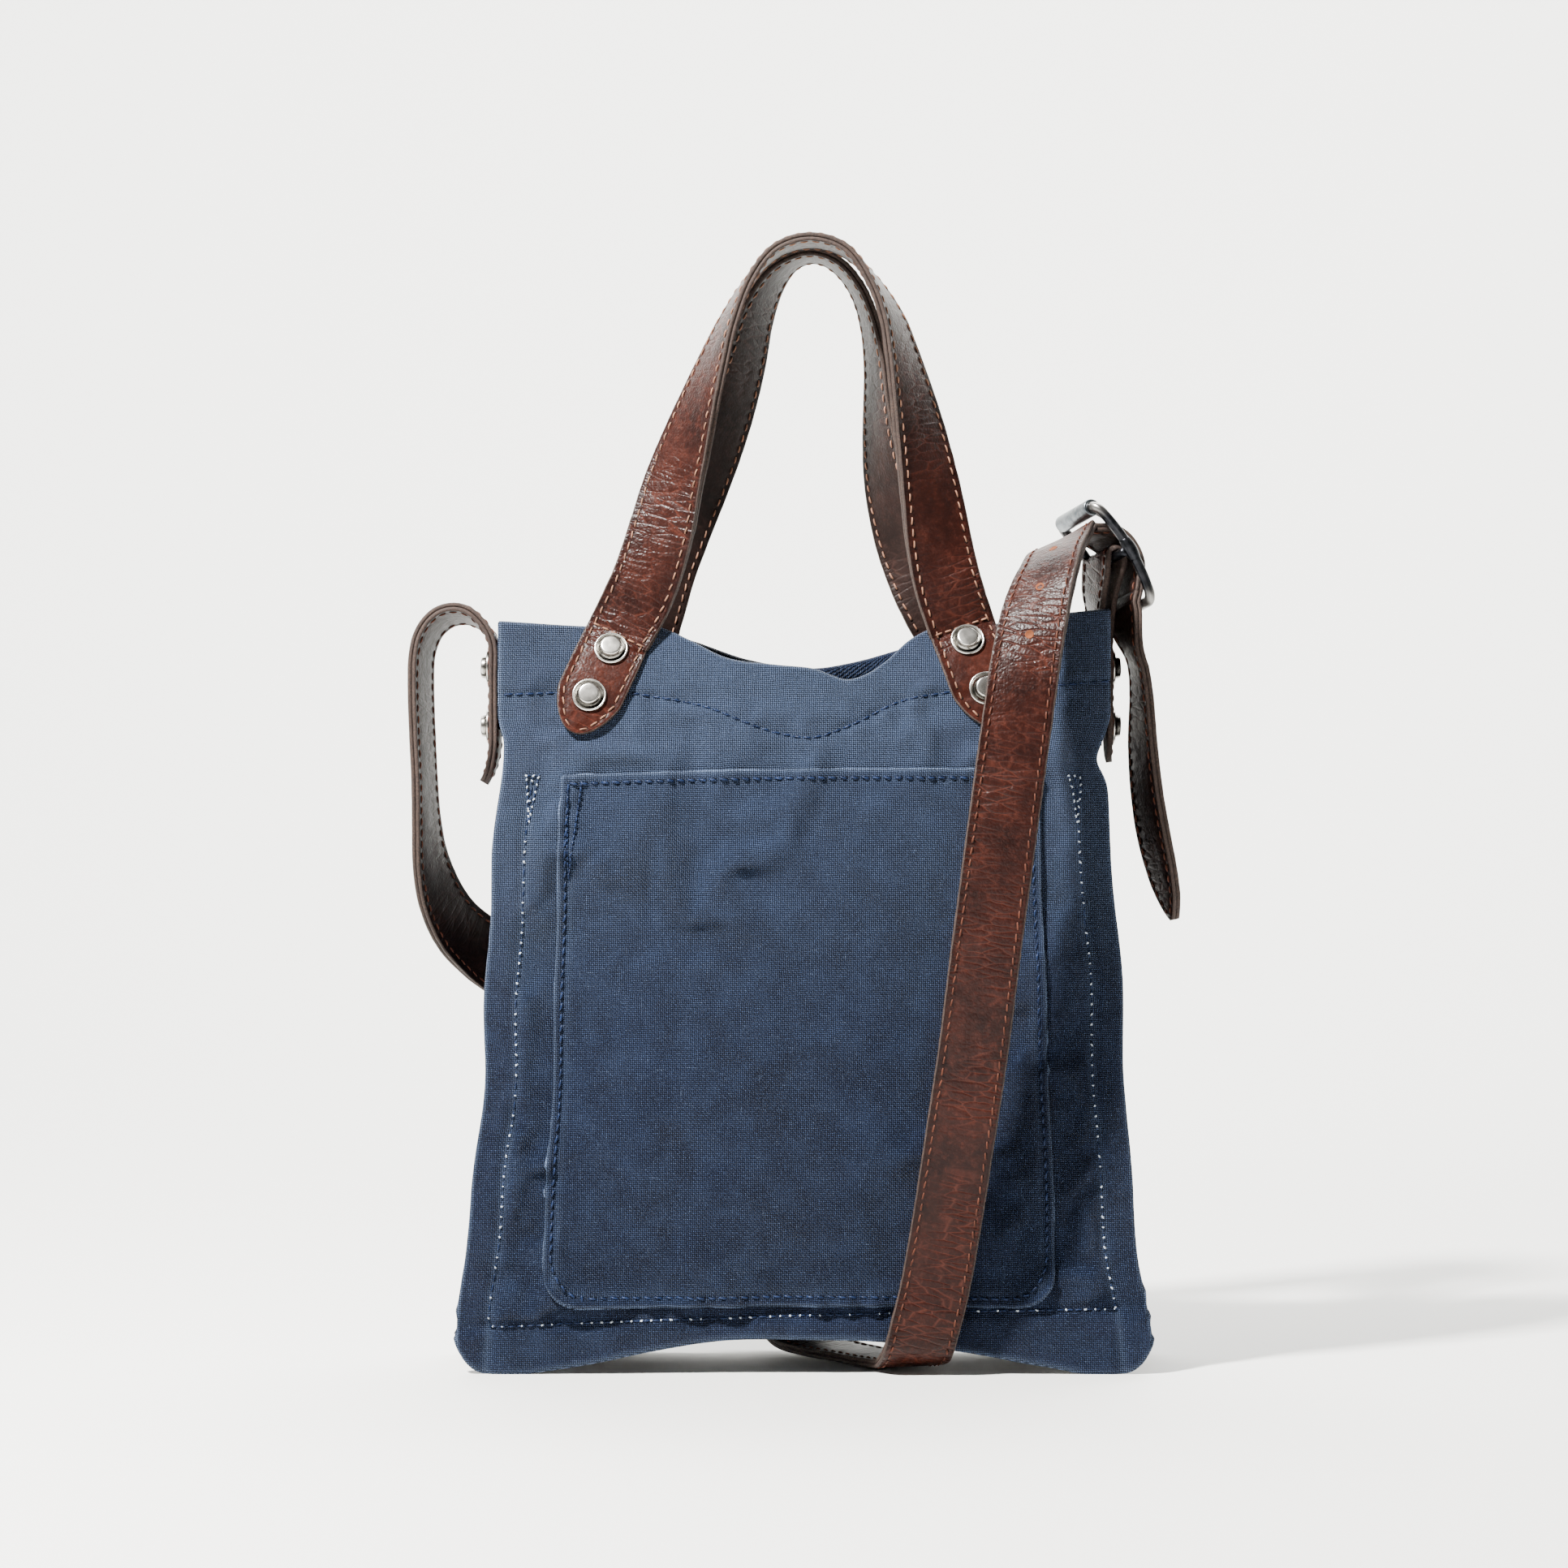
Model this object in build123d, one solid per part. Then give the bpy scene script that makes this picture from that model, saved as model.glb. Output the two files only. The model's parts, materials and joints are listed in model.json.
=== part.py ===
"""Small waxed-canvas crossbody tote: a boxed canvas body with pinched seams, a front patch pocket,
two riveted leather carrying handles and a riveted leather shoulder strap with a roller buckle.

Row frame: +Z up, +X to the bag's right as seen from the front, -Y towards the front. Millimetres.
The origin is on the floor, under the centre of everything."""
from build123d import *
import math
import os

# ---- driving dimensions -------------------------------------------------------------------------
SHIFT = Vector(3.7, 9.5, 0)  # from the body's own centre to the centre of the whole outline
BODY_HEIGHT = 272.0
TOP_HALF_WIDTH = 111.0  # half the width at the mouth
BASE_FLARE = 16.5  # how much wider each side is at the base
SEAM_TOP = 217.0  # the pinched seams end here; above it the corners are plain
SEAM_ALLOWANCE = 11.5  # width of the pinched seams
HALF_DEPTH = 30.0
MOUTH_HALF_DEPTH = 24.0
BELLY = 5.0  # how far the front and back bulge at mid height
LEAN = 14.0  # how far the mouth's edge leans in over the handles
CANVAS = 1.2
LEATHER = 1.65  # one ply of the straps
PLY_GAP = 0.1
STRAP_WIDTH = 25.0
TAB_THICKNESS = 2.4
BUCKLE_TAB = 2.2
BAR_WIDTH = 20.5  # the buckle tab narrows to this to pass between the buckle's arms
WALL_GRIP = TAB_THICKNESS + CANVAS + 3.4  # tab, panel, hem and the patch behind it
LEFT_GRIP = 7.85  # canvas, both strap plies and the patch inside
RIGHT_GRIP = 6.75  # canvas between the two ends of the buckle tab
POCKET_TOP, POCKET_LOW = 217.5, 24.5
POCKET_HALF_TOP, POCKET_HALF_LOW = 86.5, 93.5
POCKET_CORNER = 15.0
POCKET_X = -1.5  # the pocket sits a little to one side
RIVET_POST = 1.6
RIVET_HOLE = 1.75
GUSSET_TOP = 270.5
LINING_PLY = 0.7
BASE_WEB = 18.0  # height of the bottom gusset above the floor at the corners
HANDLE_Y = 13.0  # the handles' centrelines stand this far before and behind the mid plane
TAB_TOP_Z = 271.0
LOOP_START_Z = 274.5

FRONT, BACK = -1, 1
OUT = "parts"
os.makedirs(OUT, exist_ok=True)


# ---- the body's shape ---------------------------------------------------------------------------
def half_width(z):
    """Half the width of the body's outline at a height."""
    rise = max(0.0, 1 - z / 230)
    return TOP_HALF_WIDTH + BASE_FLARE * rise**1.4


def half_depth(z):
    """Half the depth at the side seams."""
    narrowing = min(1.0, max(0.0, (z - 190) / (BODY_HEIGHT - 190)))
    return HALF_DEPTH - (HALF_DEPTH - MOUTH_HALF_DEPTH) * narrowing


def lean(x, z):
    """How far the mouth is drawn in: all of it over the handles, none at the side seams."""
    share = min(1.0, max(0.0, (TOP_HALF_WIDTH - abs(x)) / 34))
    share = share * share * (3 - 2 * share)
    rise = max(0.0, (z - 215) / (BODY_HEIGHT - 215))
    return LEAN * share * rise * rise


def wall_depth(x, z):
    """Distance of the panels' outer face from the mid plane, the same in front and behind."""
    across = math.cos(math.pi / 2 * min(1.0, abs(x) / half_width(z)))
    up = math.sin(math.pi * min(1.0, max(0.0, z / 235)))
    return half_depth(z) + BELLY * across * up - lean(x, z)


def wall_surface(side, outward):
    """The panel's outer face, moved outward along Y, as one smooth face larger than the panel."""
    rows = []
    for z in range(-10, 300, 15):
        rows.append([(x, side * (wall_depth(x, z) + outward), z) for x in range(-135, 136, 15)])
    return Face.make_surface_from_array_of_points(rows, tol=0.02)


def wall_sheet(side, outward, thickness, outline, grow):
    """A ply of the wall: from the face `outward` of the panel, thickened outward (+1) or inward (-1)."""
    ply = Solid.thicken(wall_surface(side, outward), thickness, (0, side * grow, 0))
    return ply & extrude(outline, 90, both=True)


def panel_outline(inset=0.0):
    """The front panel's cut shape, upright in the XZ plane: flared sides, feet and a sagging mouth."""
    foot_in, foot_out, corner = 100.0, 113.0, 16.0
    side = [(half_width(z) - inset, z) for z in (corner, 60, 110, 165, SEAM_TOP)]
    mouth = [
        (TOP_HALF_WIDTH, 277.0), (72, 271.5), (46, 267), (18, 252), (-20, 256), (-48, 268.5), (-75, 270.5),
        (-TOP_HALF_WIDTH, BODY_HEIGHT),
    ]
    left = [(-x, z) for x, z in side]
    arch = [(-foot_in, 0), (-56, 9), (0, 13), (56, 9), (foot_in, 0)]
    edges = [
        Spline(arch),
        Line((foot_in, 0), (foot_out, 0)),
        ThreePointArc((foot_out, 0), (foot_out + 9.5, 5), side[0]),
        Spline(side),
        Line(side[-1], mouth[0]),
        Spline(mouth),
        Line(mouth[-1], left[-1]),
        Spline(left[::-1]),
        ThreePointArc(left[0], (-foot_out - 9.5, 5), (-foot_out, 0)),
        Line((-foot_out, 0), (-foot_in, 0)),
    ]
    return Plane.XZ * make_face(edges)


def band(low, high, half):
    """A plain upright strip of the wall between two heights."""
    return Plane.XZ * Pos(0, (low + high) / 2) * Rectangle(2 * half, high - low)


# ---- ribbons: straps with a twist ---------------------------------------------------------------
RUN = 16  # a long strap's faces are split every so many stations


def catmull(a, b, c, d, t):
    """A point between b and c on the smooth curve through all four."""
    square = (2 * a - 5 * b + 4 * c - d) * t * t
    cube = (3 * b - a - 3 * c + d) * t * t * t
    return 0.5 * (2 * b + (c - a) * t + square + cube)


def dense(stations, steps=2):
    """Stations (point, face normal, width) with smooth ones between them."""
    ends = [stations[0], *stations, stations[-1]]
    out = []
    for i in range(len(stations) - 1):
        four = ends[i:i + 4]
        for k in range(steps):
            t = k / steps
            out.append(tuple(catmull(*[s[j] for s in four], t) for j in range(3)))
    return [*out, stations[-1]]


def framed(stations):
    """(centre, width direction, face normal, width) at each station, square to the path."""
    points = [s[0] for s in stations]
    last = len(points) - 1
    out = []
    for i, (point, normal, width) in enumerate(stations):
        along = (points[min(i + 1, last)] - points[max(i - 1, 0)]).normalized()
        normal = (normal - along * normal.dot(along)).normalized()
        out.append((point, along.cross(normal), normal, width))
    return out


def ribbon(stations, low, high, steps=2):
    """A strap ply whose faces lie `low` and `high` along the face normal from the path."""
    frames = framed(dense(stations, steps))
    rails = []
    for side, height in ((-1, low), (1, low), (1, high), (-1, high)):
        rails.append([c + w * (side * width / 2) + n * height for c, w, n, width in frames])
    last = len(frames) - 1
    faces = []
    for start in range(0, last, RUN):
        end = last if last - start < 2 * RUN else start + RUN
        share = [i / (end - start) for i in range(end - start + 1)]
        edges = [Edge.make_spline(rail[start:end + 1], parameters=share) for rail in rails]
        faces += [Face.make_surface_from_curves(edges[i], edges[(i + 1) % 4]) for i in range(4)]
        if end == last:
            break
    for i in (0, -1):
        faces.append(Face(Wire.make_polygon([rail[i] for rail in rails], close=True)))
    return Solid(Shell(faces))


def station(x, y, z, normal, width=STRAP_WIDTH):
    return (Vector(x, y, z), Vector(*normal), width)


# ---- the buckle's own frame: u along it to the roller, n outward, v along its bars ---------------
BUCKLE = Vector(110.8, -8.0, 295.5)
V = Vector(-0.35, 0.92, -0.18).normalized()
U = (Vector(-0.524, 0, 0.852) - V * Vector(-0.524, 0, 0.852).dot(V)).normalized()
N = V.cross(U)
BUCKLE_PLANE = Plane(origin=BUCKLE, x_dir=U, z_dir=V)  # its local x, y, z are u, n, v
HALF_LENGTH = 20.0  # centre bar to roller and to far bar
ARM = 16.0  # centre bar's half length, to the arms' centre
ROD = 2.0
CENTRE_BAR = 1.8
ROLLER_OUTER, ROLLER_INNER, ROLLER_LENGTH = 3.2, 2.08, 26.0


def at_buckle(u, n, v=0.0):
    return BUCKLE + U * u + N * n + V * v


def buckle_station(u, n, normal_un, v=0.0, width=STRAP_WIDTH):
    return (at_buckle(u, n, v), U * normal_un[0] + N * normal_un[1], width)


# ---- straps' routes -----------------------------------------------------------------------------
# The face normal is the side that faces away from the bag on the left tab; it faces the bag elsewhere.
STRAP = [
    station(-118.3, 0, 214.5, (-1, 0, 0.3), 3),
    station(-115.4, 0, 220, (-1, 0, 0.15), 17),
    station(-114.2, 0, 228, (-1, 0, 0)),
    station(-114.2, 0, 241, (-1, 0, 0)),
    station(-114.2, 0, 254, (-1, 0, 0)),
    station(-114.4, 0.2, 265, (-0.99, 0, -0.1)),
    station(-118.3, 0.5, 272.3, (-0.75, -0.05, -0.65)),
    station(-125, 0.8, 276.6, (-0.3, -0.15, -0.93)),
    station(-132.5, 1.1, 276, (0.3, -0.2, -0.93)),
    station(-138.5, 1.5, 270.5, (0.75, -0.2, -0.6)),
    station(-141.4, 1.9, 261.5, (0.97, -0.2, -0.15)),
    station(-141.8, 2.4, 248, (0.98, -0.2, 0)),
    station(-141.3, 3, 232, (0.98, -0.2, 0)),
    station(-140.6, 4, 215, (0.98, -0.2, 0)),
    station(-140, 5.5, 199, (0.97, -0.25, 0)),
    station(-138.6, 8, 184, (0.93, -0.38, 0.05)),
    station(-135.2, 13, 171, (0.8, -0.58, 0.2)),
    station(-129.5, 21, 160, (0.6, -0.76, 0.25)),
    station(-120.5, 31, 151, (0.4, -0.9, 0.15)),
    station(-108, 36.8, 142, (0.1, -0.99, 0.05)),
    station(-91, 38.8, 128.5, (0, -1, 0)),
    station(-70, 40, 109, (0, -1, 0)),
    station(-49, 40.5, 86, (0, -1, 0)),
    station(-31, 41, 62, (0, -1, 0)),
    station(-18.5, 41, 40, (0, -1, 0.1)),
    station(-10, 39, 21, (0, -0.85, 0.45)),
    station(-2.5, 31.5, 8, (0.05, -0.5, 0.86)),
    station(8, 19, 3.4, (0, -0.1, 1)),
    station(20, 4.5, 2.6, (0, 0, 1)),
    station(31, -10, 2.6, (0, 0, 1)),
    station(37.8, -22.5, 3.6, (-0.05, 0.2, 0.97)),
    station(41, -33, 8.5, (-0.03, 0.72, 0.69)),
    station(43.6, -38, 18.5, (0, 0.97, 0.2)),
    station(47.3, -40, 34, (0, 1, -0.1)),
    station(51.3, -44.5, 58, (0, 1, -0.15)),
    station(55.5, -50, 87, (0, 1, -0.1)),
    station(60, -54.5, 118, (0, 1, -0.08)),
    station(63.6, -58, 148, (0, 1, -0.05)),
    station(67.5, -60, 178, (0, 1, 0)),
    station(71.5, -60.5, 208, (0.02, 1, 0.02)),
    station(75.6, -59, 237, (0.06, 1, 0.05)),
    station(79.4, -54.5, 261, (0.2, 0.97, -0.1)),
    station(83.6, -47.5, 279, (0.4, 0.85, -0.35)),
    station(88.6, -38, 293, (0.5, 0.6, -0.62)),
    station(92.9, -24.5, 300.6, (0.45, 0.3, -0.84)),
    buckle_station(13.8, -8.5, (-0.95, 0.1), -2.2),
    buckle_station(12.4, -2.2, (-1, -0.2), -0.4),
    buckle_station(10, 3.4, (-0.75, -0.65)),
    buckle_station(5, 6.7, (-0.3, -0.95)),
    buckle_station(-0.5, 7.6, (0.05, -1)),
    buckle_station(-6.3, 6.4, (0.4, -0.9)),
    buckle_station(-11.3, 2.8, (0.75, -0.65)),
    buckle_station(-15.2, -0.7, (0.7, -0.7)),
    buckle_station(-18.1, -3.8, (0.6, -0.8)),
    buckle_station(-21, -5.0, (0.5, -0.86)),
]
TAIL_AXIS = at_buckle(-23.1, -6.1)
TAIL = [
    (TAIL_AXIS + Vector(0.1, 0, -0.8), Vector(-0.98, -0.2, 0), STRAP_WIDTH),
    station(120.6, -10.3, 264, (-0.98, -0.12, 0)),
    station(122.9, -9.9, 256.5, (-0.98, -0.12, 0)),
    station(124.1, -9, 246, (-0.98, -0.16, 0)),
    station(124.6, -8, 229, (-0.98, -0.25, 0)),
    station(126.2, -7.2, 211, (-0.97, -0.3, -0.1)),
    station(128.8, -6.5, 195, (-0.95, -0.33, -0.2), 24.6),
    station(132.1, -6, 181, (-0.93, -0.33, -0.25), 21),
    station(135, -6.8, 170, (-0.93, -0.33, -0.25), 12),
    station(136.6, -8, 164, (-0.93, -0.33, -0.25), 3),
]
BUCKLE_TAB_ROUTE = [
    station(112.9, 0, 222, (1, 0, 0.1), 3),
    station(112.5, 0, 228, (1, 0, 0), 17),
    station(112.5, 0, 235, (1, 0, 0), 25),
    station(112.5, 0, 248, (1, 0, 0)),
    station(112.5, 0, 260, (1, 0, 0)),
    station(112.4, -0.6, 269, (1, 0, 0), 23),
    station(110.9, -3, 278, (0.96, 0.25, 0), BAR_WIDTH),
    station(111.4, -5.6, 287, (0.94, 0.32, 0.05), BAR_WIDTH),
    buckle_station(-1.6, 2.95, (-0.49, 0.87), 0, BAR_WIDTH),
    buckle_station(0.95, 3.25, (0.28, 0.96), 0, BAR_WIDTH),
    buckle_station(2.95, 1.65, (0.87, 0.49), 0, BAR_WIDTH),
    buckle_station(3.3, -0.7, (0.97, -0.22), 0, BAR_WIDTH),
    buckle_station(1.6, -2.95, (0.49, -0.87), 0, BAR_WIDTH),
    station(106.8, -5.4, 285, (-0.94, -0.32, 0), BAR_WIDTH),
    station(107.1, -2.8, 276.5, (-0.98, -0.15, 0), 23),
    station(108.1, -0.4, 266, (-1, 0, 0)),
    station(108.2, 0, 254, (-1, 0, 0)),
    station(108.2, 0, 241, (-1, 0, 0)),
    station(108.2, 0, 228, (-1, 0, 0)),
]
# (x, z, twist in degrees): flat on the wall at the feet, on edge over the top.
FRONT_HANDLE = [
    (-69, 262, 0), (-65.4, 270.5, 0), (-61, 282, 3), (-56.4, 293.5, 9), (-52, 308, 18),
    (-48.1, 323.3, 31), (-43.5, 338.5, 43), (-38.9, 353, 55), (-33.6, 368.5, 66), (-28, 383.5, 76),
    (-20, 399, 85), (-10.2, 409.5, 90), (3, 413.2, 90), (16, 409, 88), (25.9, 397.5, 80),
    (32.3, 385, 71), (36, 372, 63), (39, 359, 54), (41.8, 346, 45), (44.5, 332, 36),
    (47, 317.6, 26), (49.5, 302, 15), (52.8, 287, 6), (57.9, 270.8, 0), (61, 262, 0),
]
BACK_HANDLE = [
    (-62.5, 262, 0), (-58.8, 271, 0), (-56, 282, 7), (-52.2, 294.5, 17), (-46.2, 309, 28),
    (-39, 325, 37), (-32.3, 341, 44), (-26.6, 357, 50), (-22, 373, 56), (-18.2, 388, 63),
    (-11.8, 401.5, 74), (-3.5, 409.3, 86), (5, 411, 90), (13.5, 406.8, 88), (20.5, 397.5, 85),
    (24.8, 385, 81), (27, 371, 76), (27.8, 357, 71), (28.8, 343, 64), (31, 328, 54),
    (35.3, 312, 41), (41, 297, 26), (47.5, 283, 10), (54, 271, 0), (57.8, 262, 0),
]
FRONT_RIVETS = [((-70.3, 263.2), (-78.2, 245.7)), ((59.8, 266), (66.2, 248.3))]
BACK_RIVETS = [((-62, 263.5), (-69.5, 246)), ((57.4, 263.5), (64.6, 246))]
SIDE_RIVETS_Z = (257.0, 235.5)


def handle_stations(points, side):
    out = []
    for i, (x, z, twist) in enumerate(points):
        x0, z0, _ = points[max(i - 1, 0)]
        x1, z1, _ = points[min(i + 1, len(points) - 1)]
        run = math.hypot(x1 - x0, z1 - z0)
        away = Vector(-(z1 - z0) / run, 0, (x1 - x0) / run)
        turn = math.radians(twist)
        normal = Vector(0, side * math.cos(turn), 0) + away * math.sin(turn)
        out.append((Vector(x, side * HANDLE_Y, z), normal, STRAP_WIDTH))
    return out


# ---- fasteners ----------------------------------------------------------------------------------
def turned(points, plane):
    """A solid of revolution about the plane's normal, from (radius, height) points."""
    half = Plane.XZ * make_face(Polyline([*points, points[0]]))
    return plane * revolve(half, Axis.Z)


def rivet(plane, grip):
    """Cap with its post, dished ring under it and washer behind; `grip` is the stack's thickness."""
    back = -grip
    cap = [
        (0, back - 1.7), (1.5, back - 1.7), (2.3, back - 1.25), (2.3, back - 1.05),
        (RIVET_POST, back - 1.05), (RIVET_POST, 1.3), (4.6, 1.3), (4.6, 1.6), (4.1, 3.0), (3.8, 3.3),
        (0, 3.3),
    ]
    ring = [
        (RIVET_HOLE, 0.55), (6.0, 0.55), (6.25, 0.75), (6.2, 1.3), (5.8, 1.5), (5.3, 1.35), (5.0, 1.2),
        (RIVET_HOLE, 1.2),
    ]
    washer = [
        (RIVET_HOLE, back - 1.0), (4.6, back - 1.0), (4.8, back - 0.7), (4.8, back - 0.1),
        (RIVET_HOLE, back - 0.1),
    ]
    return tuple(turned(points, plane) for points in (cap, ring, washer))


def wall_plane(side, x, z, outward):
    """A plane on the wall at (x, z), its normal square to the wall and outward."""
    step = 1.0
    slope_x = (wall_depth(x + step, z) - wall_depth(x - step, z)) / (2 * step)
    slope_z = (wall_depth(x, z + step) - wall_depth(x, z - step)) / (2 * step)
    normal = Vector(-slope_x, side, -slope_z).normalized()
    base = Vector(x, side * wall_depth(x, z), z)
    return Plane(origin=base + normal * outward, z_dir=normal)


def holes(planes):
    return [plane * Cylinder(RIVET_HOLE, 30) for plane in planes]


def cut(body, tools):
    for tool in tools:
        body = body - tool
    return body


def tab_outline(rivets):
    """A pointed leather tab about its two rivets, cut level at the top."""
    (x1, z1), (x0, z0) = rivets
    tilt = math.atan2(x1 - x0, z1 - z0)
    half = STRAP_WIDTH / 2
    shape = make_face([
        ThreePointArc((half, 1), (8.6, -8.6), (0, -14.5)),
        ThreePointArc((0, -14.5), (-8.6, -8.6), (-half, 1)),
        Line((-half, 1), (-half, 45)),
        Line((-half, 45), (half, 45)),
        Line((half, 45), (half, 1)),
    ])
    upright = Plane(origin=(x0, 0, z0), x_dir=(math.cos(tilt), 0, -math.sin(tilt)), z_dir=(0, -1, 0))
    return upright * shape & Plane.XZ * Pos(0, TAB_TOP_Z - 100) * Rectangle(400, 200)


# ---- pieces -------------------------------------------------------------------------------------
pieces = {}


def keep(name, *solids):
    """Files a piece under its node name, moved to the row frame."""
    parts = [part for item in solids for part in item.solids()]
    pieces[name] = Compound(label=name, children=[Pos(*SHIFT) * part for part in parts])


tabs = {FRONT: FRONT_RIVETS, BACK: BACK_RIVETS}
names = {FRONT: "front", BACK: "back"}
rivet_planes = {}
for side, pairs in tabs.items():
    planes = [wall_plane(side, x, z, 0.3 + TAB_THICKNESS) for pair in pairs for x, z in pair]
    rivet_planes[side] = planes
    name = names[side]
    drilled = holes(planes)
    outline = panel_outline()
    keep(f"{name}_panel", cut(wall_sheet(side, 0, CANVAS, outline, -1), drilled))
    hem = outline & band(245, 300, TOP_HALF_WIDTH - 8)
    keep(f"{name}_hem_facing", cut(wall_sheet(side, -CANVAS - 0.3, 1.0, hem, -1), drilled))
    patches, leathers = [], []
    for pair in pairs:
        cx, cz = (pair[0][0] + pair[1][0]) / 2, (pair[0][1] + pair[1][1]) / 2
        patch = Plane.XZ * Pos(cx, cz - 1) * Rectangle(22, 34)
        patches.append(cut(wall_sheet(side, -CANVAS - 1.7, 1.3, patch, -1), drilled))
        leathers.append(cut(wall_sheet(side, 0.3, TAB_THICKNESS, tab_outline(pair), 1), drilled))
    keep(f"{name}_rivet_patches", *patches)
    keep(f"{name}_handle_tabs", *leathers)
    made = [rivet(plane, WALL_GRIP) for plane in planes]
    for i, kind in enumerate(("rivet_caps", "rivet_rings", "rivet_washers")):
        keep(f"{name}_{kind}", *[m[i] for m in made])

# patch pocket on the front
pocket_corners = [
    (-POCKET_HALF_LOW, POCKET_LOW), (POCKET_HALF_LOW, POCKET_LOW),
    (POCKET_HALF_TOP, POCKET_TOP), (-POCKET_HALF_TOP, POCKET_TOP),
]
pocket_shape = make_face(Polyline([*pocket_corners, pocket_corners[0]]))
pocket_shape = fillet(pocket_shape.vertices().sort_by(Axis.Y)[:2], POCKET_CORNER)
keep("front_pocket", wall_sheet(FRONT, 0.8, CANVAS, Plane.XZ * Pos(POCKET_X, 0) * pocket_shape, 1))

# gussets: a web each side with its two seam allowances behind the panels, and one under the base
allowance = {side: wall_sheet(side, -CANVAS - 0.3, 1.0, panel_outline(0.4), -1) for side in (FRONT, BACK)}
blocks = [Solid.thicken(wall_surface(side, -CANVAS - 0.8), 60, (0, side, 0)) for side in (FRONT, BACK)]
for hand, name in ((-1, "left"), (1, "right")):
    heights = (BASE_WEB + 1, 70, 140, SEAM_TOP - 6)
    edge = [(hand * (half_width(z) - SEAM_ALLOWANCE), z) for z in heights]
    top_x = hand * TOP_HALF_WIDTH
    upper = [(top_x - hand * 0.2, SEAM_TOP + 3), (top_x, 240), (top_x, GUSSET_TOP)]
    outer = [*edge, *upper]
    inner = [(x - hand * CANVAS, z) for x, z in outer]
    ends = [Line(outer[i], inner[i]) for i in (0, -1)]
    profile = make_face([Polyline(outer), Polyline(inner), *ends])
    web = cut(extrude(Plane.XZ * profile, 60, both=True), blocks)
    side_holes = [Plane(origin=(hand * TOP_HALF_WIDTH, 0, z), z_dir=(hand, 0, 0)) for z in SIDE_RIVETS_Z]
    web = cut(web, holes(side_holes))
    beyond = [(hand * 140, SEAM_TOP - 6), (hand * 140, BASE_WEB + 1)]
    strip = Plane.XZ * make_face(Polyline([*edge, *beyond, edge[0]]))
    flanges = [allowance[side] & extrude(strip, 90, both=True) for side in (FRONT, BACK)]
    keep(f"{name}_gusset", web + flanges[0] + flanges[1])

base_end = BASE_WEB - 0.6
base_line = [(-113, base_end), (-60, 20.6), (0, 22), (60, 20.6), (113, base_end)]
base_under = [(x, z - CANVAS) for x, z in base_line]
base_ends = [Line(base_line[i], base_under[i]) for i in (0, -1)]
base_profile = make_face([Spline(base_line), Spline(base_under), *base_ends])
base_web = cut(extrude(Plane.XZ * base_profile, 60, both=True), blocks)
around = Polyline([base_line[-1], (140, base_end), (140, -5), (-140, -5), (-140, base_end), base_line[0]])
skirt = Plane.XZ * make_face([Spline(base_line), around])
skirts = [allowance[side] & extrude(skirt, 90, both=True) for side in (FRONT, BACK)]
keep("bottom_gusset", base_web + skirts[0] + skirts[1])

# lining: a loose inner bag that hangs from the hem, with a slip pocket on its back wall
LINING_SECTIONS = [(98.5, 24.5, 25), (99, 25.5, 80), (98, 26, 140), (96.5, 24.5, 200), (96, 18, 238)]


def lining_loft(levels, shrink):
    """The inner bag's outline at each level, drawn in by `shrink`, lofted to a solid."""
    wires = []
    for (half_x, half_y, _), level in zip(LINING_SECTIONS, levels):
        section = RectangleRounded(2 * (half_x - shrink), 2 * (half_y - shrink), 10 - shrink)
        wires.append((Plane.XY.offset(level) * section).wire())
    return Solid.make_loft(wires)


outer_levels = [z for _, _, z in LINING_SECTIONS]
inner_levels = [outer_levels[0] + LINING_PLY, *outer_levels[1:-1], outer_levels[-1] + 1]  # open at the top
keep("lining", lining_loft(outer_levels, 0) - lining_loft(inner_levels, LINING_PLY))
keep("inner_slip_pocket", Pos(0, 22.2, 150) * Box(124, 0.8, 96))

# side tabs and the shoulder strap, two plies each
mid = PLY_GAP / 2
left_planes = [Plane(origin=(-TOP_HALF_WIDTH - 5.0, 0, z), z_dir=(-1, 0, 0)) for z in SIDE_RIVETS_Z]
right_planes = [Plane(origin=(TOP_HALF_WIDTH + 2.7, 0, z), z_dir=(1, 0, 0)) for z in SIDE_RIVETS_Z]
prong_slot = BUCKLE_PLANE * Pos(0.7, 7.5, 0) * Box(9.6, 9, 3.2)
strap_tools = [*holes(left_planes), prong_slot]
keep("shoulder_strap", cut(ribbon(STRAP, -mid - LEATHER, -mid), strap_tools))
keep("shoulder_strap_lining", cut(ribbon(STRAP, mid, mid + LEATHER), strap_tools))
keep("strap_tail", ribbon(TAIL, -mid - LEATHER, -mid, 3))
keep("strap_tail_lining", ribbon(TAIL, mid, mid + LEATHER, 3))
tab_slot = BUCKLE_PLANE * Pos(0, 1, 0) * Box(13, 13, 3.4)
tab_body = ribbon(BUCKLE_TAB_ROUTE, -BUCKLE_TAB / 2, BUCKLE_TAB / 2)
keep("buckle_tab", cut(tab_body, [*holes(right_planes), tab_slot]))
patch = Pos(-TOP_HALF_WIDTH + CANVAS + 0.95, 0, 246) * Box(1.3, 22, 38)
keep("left_rivet_patch", cut(patch, holes(left_planes)))
side_rivets = [rivet(plane, LEFT_GRIP) for plane in left_planes]
side_rivets += [rivet(plane, RIGHT_GRIP) for plane in right_planes]
for i, kind in enumerate(("rivet_caps", "rivet_rings", "rivet_washers")):
    keep(f"side_{kind}", *[m[i] for m in side_rivets])

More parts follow.
